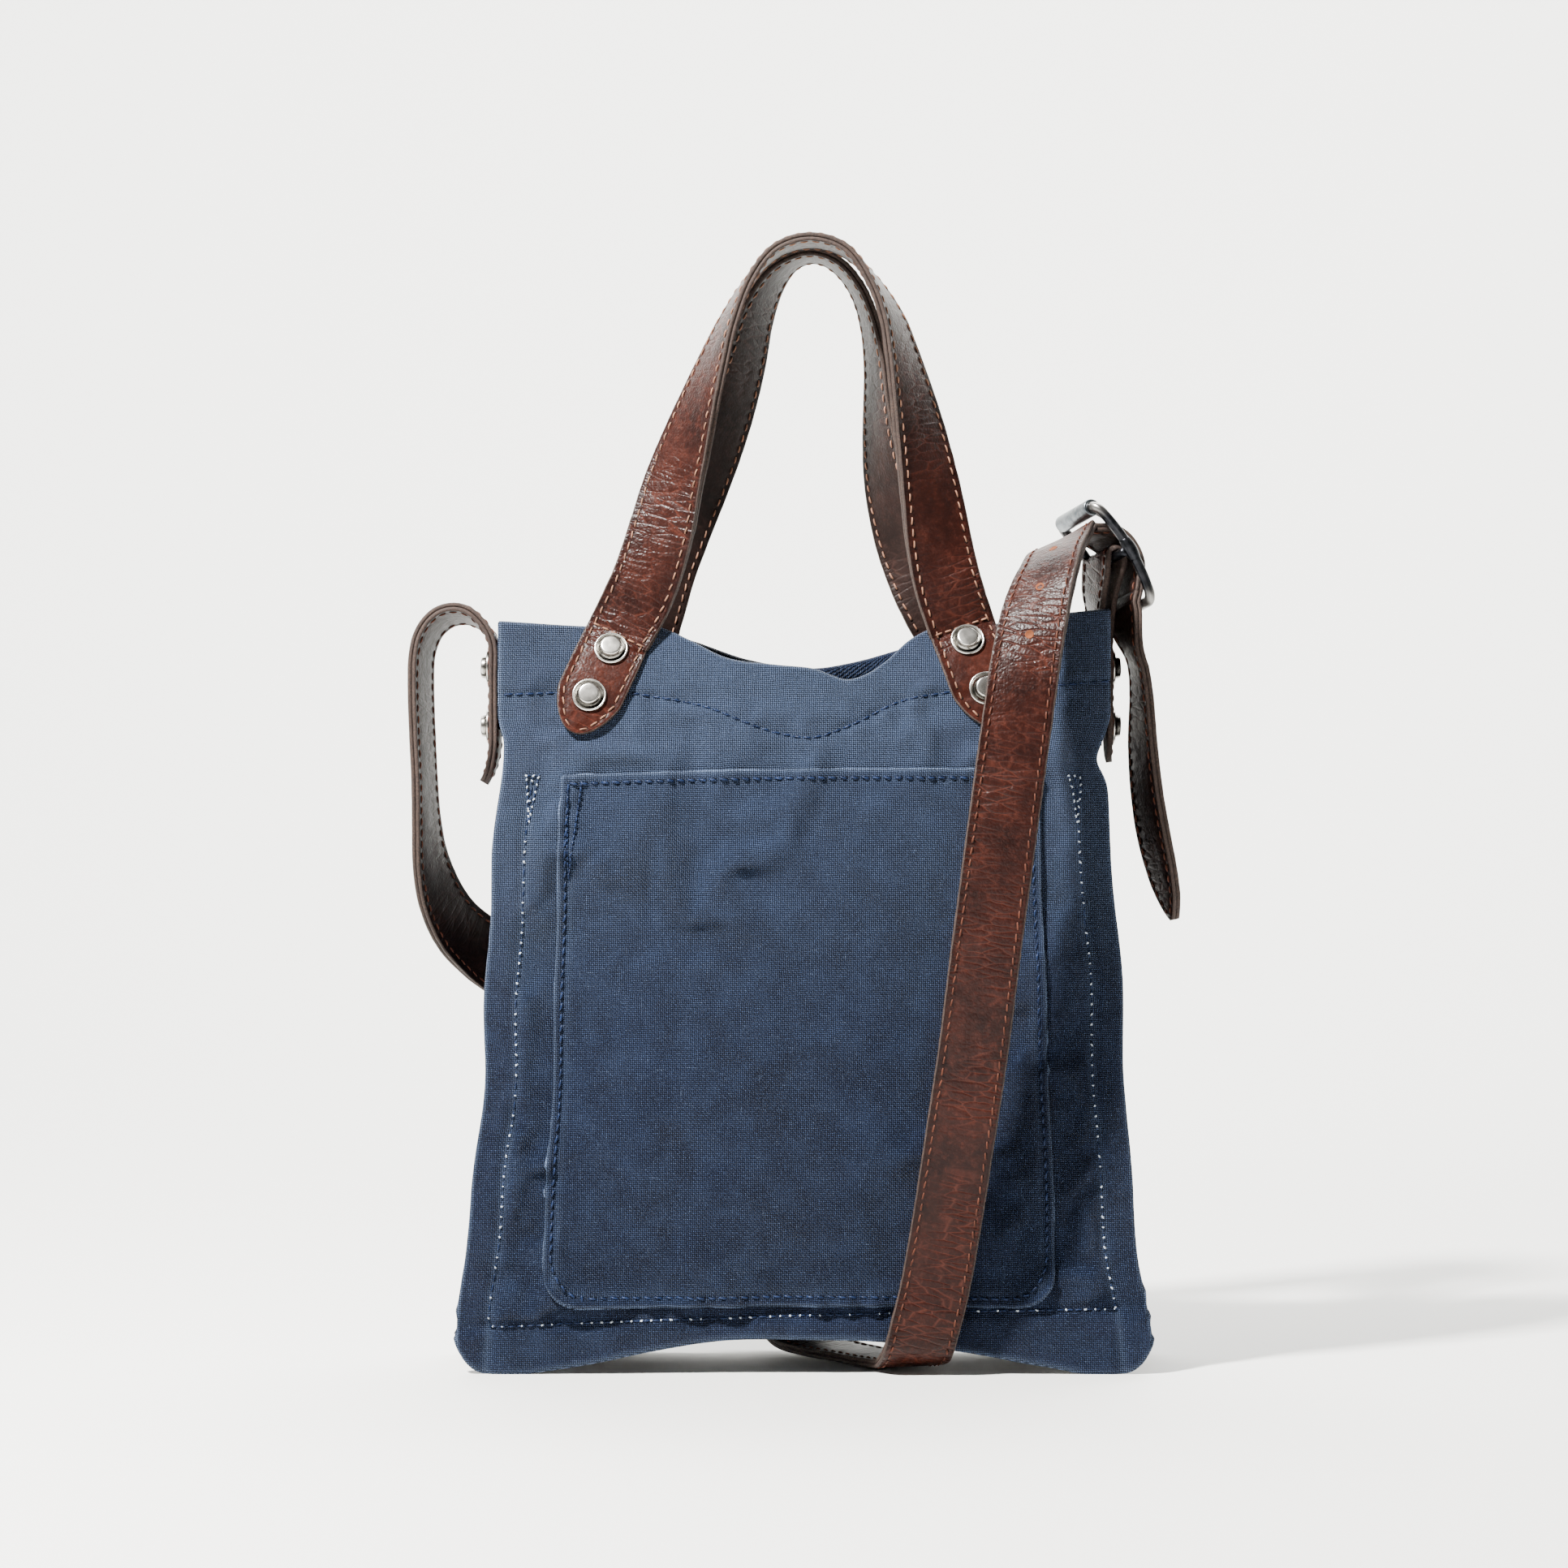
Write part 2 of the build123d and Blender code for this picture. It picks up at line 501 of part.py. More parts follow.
# carrying handles, two plies each, cut level just above the line they fold about
above = Pos(0, 0, LOOP_START_Z + 100) * Box(400, 200, 200)
for side, points in ((FRONT, FRONT_HANDLE), (BACK, BACK_HANDLE)):
    route = handle_stations(points, side)
    name = names[side]
    keep(f"{name}_handle_strap", ribbon(route, mid, mid + LEATHER, 1) & above)
    keep(f"{name}_handle_lining", ribbon(route, -mid - LEATHER, -mid, 1) & above)


# ---- buckle -------------------------------------------------------------------------------------
def rod(points, radius, radii=None):
    """A round bar along straight runs joined by arcs."""
    path = FilletPolyline(*points, radius=radii) if radii else Polyline(points)
    start = Plane(origin=path @ 0, z_dir=path % 0)
    return sweep(start * Circle(radius), path=path)


def buckle_frame():
    """A rounded frame with bowed arms, a roller bar, a far bar and a centre bar on lugs."""
    crown = 3.0
    end, reach = HALF_LENGTH, ARM
    bars = [Pos(u, 0, 0) * Cylinder(ROD, 2 * reach) for u in (-end, end)]
    arms = []
    for v in (-reach, reach):
        bow = ThreePointArc((-end, 0, v), (0, crown, v), (end, 0, v))
        arms.append(sweep(Plane(origin=bow @ 0, z_dir=bow % 0) * Circle(ROD), path=bow))
        arms += [Pos(u, 0, v) * Sphere(ROD) for u in (-end, end)]
        arms.append(Pos(0, crown / 2, v) * Box(3.6, crown + 1.8, 2 * ROD - 0.6))
    centre = Cylinder(CENTRE_BAR, 2 * reach)
    whole = bars[0]
    for item in [bars[1], centre, *arms]:
        whole = whole + item
    return whole


keep("buckle_frame", BUCKLE_PLANE * buckle_frame())
roller = Cylinder(ROLLER_OUTER, ROLLER_LENGTH) - Cylinder(ROLLER_INNER, ROLLER_LENGTH + 2)
keep("buckle_roller", BUCKLE_PLANE * Pos(HALF_LENGTH, 0, 0) * roller)

PRONG = 1.1
hub = Cylinder(3.0, 2.6) - Cylinder(CENTRE_BAR + 0.08, 4)
shank_path = [(1.2, 2.2, 0), (2.7, 7.0, 0), (4.2, 11.3, 0), (9.0, 11.6, 0), (15.5, 9.0, 0), (22.0, 4.45, 0)]
shank = rod(shank_path, PRONG, [6, 1.8, 6, 12])
keep("buckle_prong", BUCKLE_PLANE * ((hub + shank) - Cylinder(CENTRE_BAR + 0.08, 4)))

for name, piece in pieces.items():
    export_step(piece, f"{OUT}/{name}.step")
box = Compound(children=list(pieces.values())).bounding_box()
print("box", [round(value, 2) for value in (*box.min, *box.max)])
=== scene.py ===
"""The looks of a small waxed-canvas crossbody tote: creased and topstitched canvas, riveted and sewn
leather straps, an antique roller buckle, and plain studio surroundings.

Shapes are worked out in millimetres about the middle of the bag's body, and placed in the frame by
world(). The front faces -Y."""
import json
import math
import random

import bmesh
import bpy
import numpy as np
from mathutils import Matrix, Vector, noise

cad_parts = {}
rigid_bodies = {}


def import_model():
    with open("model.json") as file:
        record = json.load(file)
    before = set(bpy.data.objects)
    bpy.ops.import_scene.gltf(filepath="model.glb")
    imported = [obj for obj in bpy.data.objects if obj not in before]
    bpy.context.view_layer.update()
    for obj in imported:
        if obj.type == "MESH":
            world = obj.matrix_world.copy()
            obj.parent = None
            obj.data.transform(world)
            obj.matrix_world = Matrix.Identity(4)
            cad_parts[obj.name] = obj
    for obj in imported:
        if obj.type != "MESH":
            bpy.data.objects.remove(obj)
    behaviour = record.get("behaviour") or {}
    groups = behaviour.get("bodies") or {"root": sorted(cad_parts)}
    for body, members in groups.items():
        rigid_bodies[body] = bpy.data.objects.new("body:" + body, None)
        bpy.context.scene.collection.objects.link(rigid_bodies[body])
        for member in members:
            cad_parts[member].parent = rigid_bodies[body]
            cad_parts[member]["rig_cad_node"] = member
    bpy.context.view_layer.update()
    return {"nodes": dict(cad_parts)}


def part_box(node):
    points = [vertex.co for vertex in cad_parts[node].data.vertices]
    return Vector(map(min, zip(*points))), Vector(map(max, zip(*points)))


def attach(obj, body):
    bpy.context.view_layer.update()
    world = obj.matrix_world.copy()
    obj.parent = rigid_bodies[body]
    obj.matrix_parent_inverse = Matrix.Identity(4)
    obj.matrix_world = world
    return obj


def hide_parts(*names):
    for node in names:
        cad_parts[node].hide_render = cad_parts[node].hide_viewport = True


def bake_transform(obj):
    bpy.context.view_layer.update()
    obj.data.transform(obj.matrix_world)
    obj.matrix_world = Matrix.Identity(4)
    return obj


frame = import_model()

random.seed(7)
FRONT, BACK = -1, 1
SIDE_NAMES = {FRONT: "front", BACK: "back"}

# ---- sizes in millimetres, the same as the frame's ----------------------------------------------
BODY_HEIGHT = 272.0
TOP_HALF_WIDTH = 111.0
BASE_FLARE = 16.5
SEAM_TOP = 217.0
SEAM_ALLOWANCE = 11.5
HALF_DEPTH = 30.0
MOUTH_HALF_DEPTH = 24.0
BELLY = 5.0
LEAN = 14.0
CORNER = 15.0
CANVAS = 1.2
LEATHER = 1.65
PLY_GAP = 0.1
STRAP_WIDTH = 25.0
BAR_WIDTH = 20.5
HANDLE_Y = 13.0
THREAD = 0.34
STITCH_MARGIN = 2.6  # from a strap's edge to its stitches
BEHIND_CANVAS = CANVAS + 0.6  # from the outer face to what lies behind the wall
POCKET_LOW, POCKET_TOP = 24.6, 217.5
POCKET_HALF_LOW, POCKET_NARROWING = 93.5, 7.0
POCKET_X = -1.5
POCKET_ACROSS, POCKET_UP = 90, 190  # turn its s and t into distances from its border
GUSSET_LOW, GUSSET_HIGH = 17.5, 270.8
LINING_FLOOR, LINING_TOP = 25.3, 241
LINING_HALF_X, LINING_HALF_Y, LINING_NECK_Y = 97.5, 24.3, 19.5
HEM_ROLL = 1.35  # radius of the mouth's folded edge
MM = 0.001  # a millimetre in metres
UV_UNIT = 100.0  # millimetres to a unit of UV

panel_low, panel_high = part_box("front_panel")
_, back_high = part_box("back_panel")
MIDDLE = Vector(((panel_low[0] + panel_high[0]) / 2, (panel_low[1] + back_high[1]) / 2, 0))


def world(point):
    """A point in millimetres about the body's middle, in the frame's metres."""
    return MIDDLE + Vector(point) * MM


def add_object(name, data):
    """An object for the data, in the scene."""
    made = bpy.data.objects.new(name, data)
    bpy.context.scene.collection.objects.link(made)
    return made


# ---- node helpers -------------------------------------------------------------------------------
class Nodes:
    """A material's node tree, with short calls for the nodes used here."""

    def __init__(self, name):
        self.material = bpy.data.materials.new(name)
        self.material.use_nodes = True
        self.tree = self.material.node_tree
        self.shader = self.tree.nodes["Principled BSDF"]

    def link(self, value, socket):
        if isinstance(value, bpy.types.NodeSocket):
            self.tree.links.new(value, socket)
        else:
            socket.default_value = value

    def add(self, kind, **settings):
        node = self.tree.nodes.new(kind)
        for key, value in settings.items():
            setattr(node, key, value)
        return node

    def math(self, operation, a, b=0.0):
        node = self.add("ShaderNodeMath", operation=operation)
        self.link(a, node.inputs[0])
        self.link(b, node.inputs[1])
        return node.outputs[0]

    def times(self, a, b):
        return self.math("MULTIPLY", a, b)

    def uv(self, along=UV_UNIT, across=UV_UNIT):
        """UV as millimetres, or stretched millimetres."""
        node = self.add("ShaderNodeVectorMath", operation="MULTIPLY")
        self.tree.links.new(self.add("ShaderNodeUVMap").outputs[0], node.inputs[0])
        node.inputs[1].default_value = (across, along, 1)
        return node.outputs[0]

    def place(self, scale=1.0):
        """Object coordinates in millimetres times scale."""
        node = self.add("ShaderNodeVectorMath", operation="SCALE")
        self.tree.links.new(self.add("ShaderNodeTexCoord").outputs["Object"], node.inputs[0])
        node.inputs["Scale"].default_value = 1000 * scale
        return node.outputs[0]

    def parts(self, vector):
        node = self.add("ShaderNodeSeparateXYZ")
        self.tree.links.new(vector, node.inputs[0])
        return node.outputs

    def noise(self, vector, size, detail=3.0, rough=0.55):
        """Smooth noise whose lumps are about `size` of the vector's units."""
        node = self.add("ShaderNodeTexNoise")
        self.link(vector, node.inputs["Vector"])
        node.inputs["Scale"].default_value = 1 / size
        node.inputs["Detail"].default_value = detail
        node.inputs["Roughness"].default_value = rough
        return node.outputs["Fac"]

    def cells(self, vector, size):
        """Distance from the edge of irregular cells about `size` across."""
        node = self.add("ShaderNodeTexVoronoi", feature="DISTANCE_TO_EDGE")
        self.link(vector, node.inputs["Vector"])
        node.inputs["Scale"].default_value = 1 / size
        return node.outputs["Distance"]

    def ramp(self, value, *stops):
        """Stops are (position, grey or colour)."""
        node = self.add("ShaderNodeValToRGB")
        self.link(value, node.inputs[0])
        band = node.color_ramp
        while len(band.elements) < len(stops):
            band.elements.new(0.5)
        for element, (position, colour) in zip(band.elements, stops):
            element.position = position
            element.color = (*colour, 1) if isinstance(colour, tuple) else (colour, colour, colour, 1)
        return node.outputs["Color"]

    def mix(self, share, a, b):
        node = self.add("ShaderNodeMix", data_type="RGBA")
        self.link(share, node.inputs["Factor"])
        for value, socket in ((a, node.inputs[6]), (b, node.inputs[7])):
            self.link((*value, 1) if isinstance(value, tuple) else value, socket)
        return node.outputs[2]

    def bump(self, height, distance, strength=1.0, below=None):
        node = self.add("ShaderNodeBump")
        self.link(height, node.inputs["Height"])
        node.inputs["Distance"].default_value = distance * MM
        node.inputs["Strength"].default_value = strength
        if below is not None:
            self.link(below, node.inputs["Normal"])
        return node.outputs[0]

    def attribute(self, name):
        return self.add("ShaderNodeAttribute", attribute_name=name).outputs["Fac"]

    def finish(self, colour, roughness, normal=None, **constants):
        self.link(colour, self.shader.inputs["Base Color"])
        self.link(roughness, self.shader.inputs["Roughness"])
        if normal is not None:
            self.link(normal, self.shader.inputs["Normal"])
        for key, value in constants.items():
            self.shader.inputs[key.replace("_", " ")].default_value = value
        return self.material


def canvas_material(name, shade=1.0, thread_size=0.72):
    """Waxed plain weave: one thread over the next, slubs, wax mottling, painted shade in the grooves, painted
    highlights on the thread crowns, and paler where the point attribute says: worn edges and seams, and
    painted light on the upper walls.
    """
    n = Nodes(name)
    uv = n.uv()
    x, y, _ = n.parts(uv)
    wobble = n.times(n.noise(uv, 16, 2), 1.6)
    turns = math.pi / thread_size
    across = n.math("SINE", n.times(n.math("ADD", x, wobble), turns))
    along = n.math("SINE", n.times(n.math("SUBTRACT", y, wobble), turns))
    over = n.times(n.times(across, along), 0.42)
    warp = n.math("ADD", n.times(n.math("ABSOLUTE", across), 0.58), over)
    weft = n.math("SUBTRACT", n.times(n.math("ABSOLUTE", along), 0.58), over)
    weave = n.math("MAXIMUM", warp, weft)
    slub = n.math("MAXIMUM", n.noise(n.uv(100, 12), 0.75, 2), n.noise(n.uv(12, 100), 0.75, 2))
    wax = n.noise(n.place(), 38, 5, 0.62)
    cloud = n.noise(n.place(), 11, 4, 0.6)
    thread = n.noise(uv, 0.8, 1)
    deep, middle, bright, pale = (tuple(c * shade for c in colour) for colour in CANVAS_COLOURS)
    ground = n.mix(n.ramp(wax, (0.28, 0.0), (0.66, 1.0)), deep, middle)
    ground = n.mix(n.times(n.ramp(cloud, (0.40, 0.0), (0.72, 1.0)), 0.20), ground, bright)
    # painted shade: the grooves between the threads mixed towards a darker navy
    groove = n.ramp(weave, (0.30, 1.0), (0.76, 0.0))
    ground = n.mix(n.times(groove, 0.85), ground, tuple(c * 0.25 for c in deep))
    # painted highlights: the thread crowns mixed towards the bright colour, more on some threads than on
    # others
    tops = n.times(n.ramp(weave, (0.62, 0.0), (0.98, 1.0)),
                  n.ramp(thread, (0.42, 0.12), (0.62, 1.0)))
    fleck = n.math("MAXIMUM", n.noise(n.uv(100, 45), 0.9, 2), n.noise(n.uv(45, 100), 0.9, 2))
    ground = n.mix(n.times(tops, n.ramp(fleck, (0.48, 0.25), (0.66, 1.0))), ground, bright)
    # paler slub specks, only where the painted crown highlights are
    speck = n.times(n.ramp(slub, (0.60, 0.0), (0.72, 1.0)), tops)
    ground = n.mix(n.times(speck, 0.35), ground, pale)
    # paler where the point attribute is high: worn edges, seams and hem, and painted light on the upper walls
    # of the body and pocket
    worn = n.times(n.attribute("wear"), n.ramp(weave, (0.35, 0.12), (0.92, 1.0)))
    ground = n.mix(n.times(worn, 0.5), ground, pale)
    rough = n.ramp(wax, (0.3, 0.46), (0.7, 0.62))
    broad = n.bump(n.noise(n.place(), 21, 3, 0.55), 0.8, 2.2)
    soft = n.bump(n.noise(n.place(), 6.5, 4, 0.6), 0.6, 0.6, broad)
    normal = n.bump(weave, 0.55, 1.0, n.bump(fleck, 0.5, 0.5, soft))
    return n.finish(ground, rough, normal, Specular_IOR_Level=0.09)


def leather_material(name, dark, mid, light, gloss, crease=1.0):
    """Pull-up leather: pebbled grain, pale crease lines across the strap, partly the leather's own lightening
    and partly painted highlight, darker margins where it rubs.
    """
    n = Nodes(name)
    uv = n.uv()
    across, _, _ = n.parts(uv)
    tone = n.noise(n.place(), 17, 5, 0.62)
    fine = n.noise(n.place(), 2.6, 4, 0.65)
    colour = n.mix(n.ramp(tone, (0.33, 0.0), (0.68, 1.0)), dark, mid)
    colour = n.mix(n.times(n.ramp(fine, (0.5, 0.0), (0.72, 1.0)), 0.45), colour, light)
    pebble = n.cells(n.place(), 1.45)
    pebble_height = n.ramp(pebble, (0.0, 0.0), (0.34, 1.0))
    swirl = n.add("ShaderNodeTexNoise")
    swirl.inputs["Scale"].default_value = 0.16
    n.link(uv, swirl.inputs["Vector"])
    bend = n.add("ShaderNodeVectorMath", operation="MULTIPLY_ADD")
    n.link(swirl.outputs["Color"], bend.inputs[0])
    bend.inputs[1].default_value = (0.7, 1.4, 0)
    n.link(n.uv(100, 24), bend.inputs[2])
    fold = n.cells(bend.outputs[0], 2.7)
    fold_height = n.ramp(fold, (0.0, 0.0), (0.17, 1.0))
    where = n.ramp(n.noise(n.place(), 34, 2), (0.42, 0.10), (0.60, 1.0))
    colour = n.mix(n.times(n.ramp(pebble, (0.0, 0.6), (0.13, 0.0)), 0.7), colour, dark)
    # pale crease lines: partly the pull-up's own lightening where it bends, partly painted highlight where
    # the ridges catch the light
    pale_crease_and_glint = n.times(n.ramp(fold, (0.0, 0.60), (0.055, 0.0)), where)
    colour = n.mix(pale_crease_and_glint, colour, tuple(c * 1.1 for c in light))
    margin = n.ramp(n.math("ABSOLUTE", n.math("DIVIDE", across, STRAP_WIDTH / 2)), (0.84, 0.0), (0.99, 0.8))
    colour = n.mix(margin, colour, tuple(c * 0.5 for c in dark))
    rough = n.math("ADD", n.times(fine, 0.20), gloss)
    soft = n.bump(n.noise(n.place(), 7, 3), 0.7, 0.6)
    creased = n.bump(n.times(fold_height, where), 0.28 * crease, 0.9, soft)
    normal = n.bump(pebble_height, 0.09 * crease, 0.8, creased)
    return n.finish(colour, rough, normal, Specular_IOR_Level=0.11)


def raw_edge_material():
    """Cut leather edge: rough brown fibre with darker burnished patches."""
    n = Nodes("raw_leather_edge")
    fibre = n.noise(n.place(), 0.6, 5, 0.7)
    patch = n.noise(n.place(), 5, 3)
    colour = n.mix(n.ramp(fibre, (0.38, 0.0), (0.7, 1.0)), (0.010, 0.006, 0.005), (0.055, 0.030, 0.021))
    colour = n.mix(n.ramp(patch, (0.45, 0.0), (0.65, 0.6)), colour, (0.016, 0.008, 0.006))
    return n.finish(colour, 0.7, n.bump(fibre, 0.4, 0.9), Specular_IOR_Level=0.3)


def metal_material(name, dull, clean, worn, gloss):
    """Antique plated metal: `dull` in blotches, `clean` elsewhere, and `worn` bright where edges rub."""
    n = Nodes(name)
    cloud = n.noise(n.place(), 3.4, 4, 0.6)
    pit = n.noise(n.place(), 0.6, 3, 0.6)
    colour = n.mix(n.ramp(cloud, (0.36, 0.0), (0.62, 1.0)), dull, clean)
    colour = n.mix(n.ramp(pit, (0.66, 0.0), (0.78, 0.3)), colour, tuple(c * 0.5 for c in dull))
    colour = n.mix(n.attribute("wear"), colour, worn)
    rough = n.math("ADD", n.times(cloud, 0.16), gloss)
    return n.finish(colour, rough, n.bump(cloud, 0.05, 0.4), Metallic=1.0)


def thread_material(name, colour, gleam=0.55):
    """Twisted thread, a little uneven in colour."""
    n = Nodes(name)
    twist = n.noise(n.place(), 0.45, 2)
    dark = tuple(c * 0.55 for c in colour)
    tone = n.mix(n.ramp(n.noise(n.place(), 6, 2), (0.35, 0.0), (0.65, 1.0)), dark, colour)
    return n.finish(tone, gleam, n.bump(twist, 0.12, 0.7), Specular_IOR_Level=0.12)


def lining_material():
    """Ribbed navy lining, a little faded in places."""
    n = Nodes("lining_cloth")
    uv = n.uv()
    x, y, _ = n.parts(uv)
    rib = n.math("ABSOLUTE", n.math("SINE", n.times(n.math("ADD", x, y), math.pi / 0.7)))
    faded = n.ramp(n.noise(n.place(), 14, 4), (0.35, 0.0), (0.7, 1.0))
    colour = n.mix(faded, (0.012, 0.015, 0.026), (0.03, 0.038, 0.06))
    return n.finish(colour, 0.85, n.bump(rib, 0.15, 0.6), Sheen_Weight=0.1)


CANVAS_COLOURS = (  # deep, middle, bright and pale
    (0.0018, 0.0034, 0.0102), (0.0036, 0.0070, 0.0212), (0.034, 0.056, 0.120), (0.140, 0.190, 0.295))
CANVAS_LOOK = canvas_material("waxed_canvas")
# the side walls, base and seam allowances take the same canvas 8% darker: painted shade
SHADED_CANVAS = canvas_material("waxed_canvas_shaded", 0.92)
GRAIN = leather_material("brown_leather", (0.0068, 0.0021, 0.0017), (0.0215, 0.0052, 0.0033),
                         (0.056, 0.0150, 0.0092), 0.25)
TAB_GRAIN = leather_material("polished_leather", (0.011, 0.0032, 0.0024), (0.028, 0.0070, 0.0042),
                             (0.060, 0.016, 0.010), 0.20, 0.35)
UNDERSIDE = leather_material("leather_lining", (0.005, 0.0026, 0.0021), (0.0115, 0.0052, 0.0042),
                             (0.026, 0.012, 0.0095), 0.36, 0.6)
RAW_EDGE = raw_edge_material()
METAL = metal_material("antique_nickel", (0.12, 0.112, 0.100), (0.28, 0.268, 0.245), (0.66, 0.64, 0.60), 0.16)
GUNMETAL = metal_material("gunmetal", (0.014, 0.015, 0.018), (0.036, 0.037, 0.042), (0.26, 0.25, 0.24), 0.26)
STEEL = metal_material("worn_steel", (0.090, 0.103, 0.115), (0.20, 0.22, 0.235), (0.55, 0.55, 0.54), 0.26)
LINING_LOOK = lining_material()
TAN_THREAD = thread_material("tan_thread", (0.20, 0.098, 0.062))
RUST_THREAD = thread_material("rust_thread", (0.075, 0.024, 0.014))
NAVY_THREAD = thread_material("navy_thread", (0.008, 0.016, 0.046), 0.40)
PALE_THREAD = thread_material("pale_thread", (0.42, 0.47, 0.54))
HOLE_LOOK = thread_material("punched_hole", (0.12, 0.035, 0.012), 0.8)
# needle holes, near black: painted shade inside the holes
PIT_SHADE = thread_material("needle_hole", (0.008, 0.004, 0.003), 0.9)
NAVY_PIT_SHADE = thread_material("needle_hole_navy", (0.002, 0.003, 0.008), 0.9)


# ---- mesh helpers -------------------------------------------------------------------------------
def mesh_object(name, points, faces, looks, uvs=None, slots=None, wear=None):
    """A closed, smooth-shaded piece from points in millimetres."""
    mesh = bpy.data.meshes.new(name)
    base = np.asarray(points, float) * MM + np.array(MIDDLE)
    base[:, 2] = np.maximum(base[:, 2], 0)
    mesh.from_pydata(base.tolist(), [], faces)
    for look in looks:
        mesh.materials.append(look)
    if slots is not None:
        mesh.polygons.foreach_set("material_index", slots)
    if uvs is not None:
        layer = mesh.uv_layers.new(name="UVMap")
        corner = np.empty(len(mesh.loops), int)
        mesh.loops.foreach_get("vertex_index", corner)
        layer.data.foreach_set("uv", (np.asarray(uvs, float)[corner] / UV_UNIT).ravel())
    if wear is not None:
        attribute = mesh.attributes.new("wear", "FLOAT", "POINT")
        attribute.data.foreach_set("value", np.asarray(wear, np.float32))
    mesh.polygons.foreach_set("use_smooth", [True] * len(mesh.polygons))
    build = bmesh.new()
    build.from_mesh(mesh)
    bmesh.ops.recalc_face_normals(build, faces=build.faces)
    build.to_mesh(mesh)
    build.free()
    return add_object(name, mesh)


def grid_faces(rows, columns, closed=False, looped=False):
    """Quads over rows by columns points numbered row by row. `closed` joins each row's own ends, and `looped`
    joins the last row to the first."""
    out = []
    for i in range(rows - 1):
        here, above = i * columns, (i + 1) * columns
        for j in range(columns if closed else columns - 1):
            k = (j + 1) % columns
            out.append((here + j, here + k, above + k, above + j))
    if looped:
        base = (rows - 1) * columns
        out += [(base + k, base + (k + 1) % columns, (k + 1) % columns, k) for k in range(columns)]
    return out


def end_caps(ring, count):
    """The two end faces of a run of `count` points in rings."""
    return [tuple(range(ring))[::-1], tuple(range(count - ring, count))]


def sheet_grid(*axes):
    """Separate arrays of x, y, z (or u, v) as one grid of points."""
    return np.stack(axes, axis=2)


def grid_normals(outer):
    """Unit normals of a grid of points, to the side where columns x rows turn right-handed."""
    normal = np.cross(np.gradient(outer, axis=1), np.gradient(outer, axis=0))
    size = np.linalg.norm(normal, axis=2, keepdims=True)
    return normal / np.maximum(size, 1e-9)


def settled(points):
    """Canvas points moved in and out a little along the sides, where a soft bag's outline wavers."""
    x, z = points[..., 0], points[..., 2]
    share = np.clip((np.abs(x) - 55) / 55, 0, 1) ** 2 * smooth_step((240 - z) / 12)
    left = 1.1 * np.sin(z / 23 + 0.6) + 0.7 * np.sin(z / 9.5) - 0.6
    notch = 3.2 * np.exp(-(((z - 222.5) / 6) ** 2))
    right = 1.0 * np.sin(z / 27 + 2.2) + 0.6 * np.sin(z / 11 + 1) - 1.4 - notch
    moved = points.copy()
    moved[..., 0] = x + share * np.where(x < 0, -left, right) * smooth_step((z - 4) / 40)
    return moved


def thick_sheet(name, outer, uv, thickness, looks, wear=None, flip=False):
    """A ply from its outer face's grid: the grid again inside it, and a rounded rim between them.
    `flip` is for a grid whose columns run the other way, so that the ply still grows inward."""
    if flip:
        outer, uv = outer[:, ::-1], uv[:, ::-1]
        wear = None if wear is None else wear[:, ::-1]
    if looks[0] in (CANVAS_LOOK, SHADED_CANVAS):
        outer = settled(outer)
    rows, columns, _ = outer.shape
    normal = grid_normals(outer)
    inner = outer - normal * thickness
    index = np.arange(rows * columns).reshape(rows, columns)
    rim = np.concatenate([index[0, :-1], index[:-1, -1], index[-1, :0:-1], index[:0:-1, 0]])
    inward = np.concatenate([index[1, :-1], index[:-1, -2], index[-2, :0:-1], index[:0:-1, 1]])
    flat = outer.reshape(-1, 3)
    under = inner.reshape(-1, 3)
    away = flat[rim] - flat[inward]
    away /= np.maximum(np.linalg.norm(away, axis=1, keepdims=True), 1e-9)
    middle = (flat[rim] + under[rim]) / 2 + away * thickness * 0.42
    count = rows * columns
    faces = grid_faces(rows, columns)
    front_faces = len(faces)
    faces += [tuple(v + count for v in reversed(face)) for face in grid_faces(rows, columns)]
    ring = len(rim)
    for k in range(ring):
        m = (k + 1) % ring
        faces.append((int(rim[k]), int(rim[m]), 2 * count + m, 2 * count + k))
        faces.append((2 * count + k, 2 * count + m, int(rim[m]) + count, int(rim[k]) + count))
    flat_uv = uv.reshape(-1, 2)
    uvs = np.concatenate([flat_uv, flat_uv, flat_uv[rim]])
    if wear is not None:
        flat_wear = wear.reshape(-1)
        wear = np.concatenate([flat_wear, flat_wear, np.ones(ring)])
    slots = None
    if len(looks) > 1:
        slots = [0] * front_faces + [1] * (len(faces) - front_faces)
    return mesh_object(name, np.concatenate([flat, under, middle]), faces, looks, uvs, slots, wear)


def ring_points(centre, side, lift, wide, deep, segments):
    """Points round a centre: `wide` along side, `deep` along lift."""
    turns = [2 * math.pi * k / segments for k in range(segments)]
    return [tuple(centre + side * (wide * math.cos(a)) + lift * (deep * math.sin(a))) for a in turns]


def turned(profile, segments, origin, normal):
    """Points and faces of a closed turned shape that stands at the origin along the normal. Its profile of
    (radius, height) starts and ends on the axis, or closes on itself."""
    aim = Vector(normal).to_track_quat("Z", "Y")
    points = []
    for radius, height in profile:
        for k in range(segments):
            turn = 2 * math.pi * k / segments
            point = Vector((radius * math.cos(turn), radius * math.sin(turn), height))
            points.append(tuple(Vector(origin) + aim @ point))
    return points, grid_faces(len(profile), segments, True, profile[0][0] > 1e-6)


def joined(name, solids, looks, wear=None, settle=False):
    """One piece of several (points, faces), with a wear value for each point if there are any."""
    points, faces = [], []
    for some_points, some_faces in solids:
        base = len(points)
        points += some_points
        faces += [tuple(v + base for v in face) for face in some_faces]
    if settle:
        points = settled(np.array(points))
    return mesh_object(name, points, faces, looks, wear=wear)


def smooth_step(value):
    """0 to 1 with soft ends."""
    value = np.clip(value, 0, 1)
    return value * value * (3 - 2 * value)


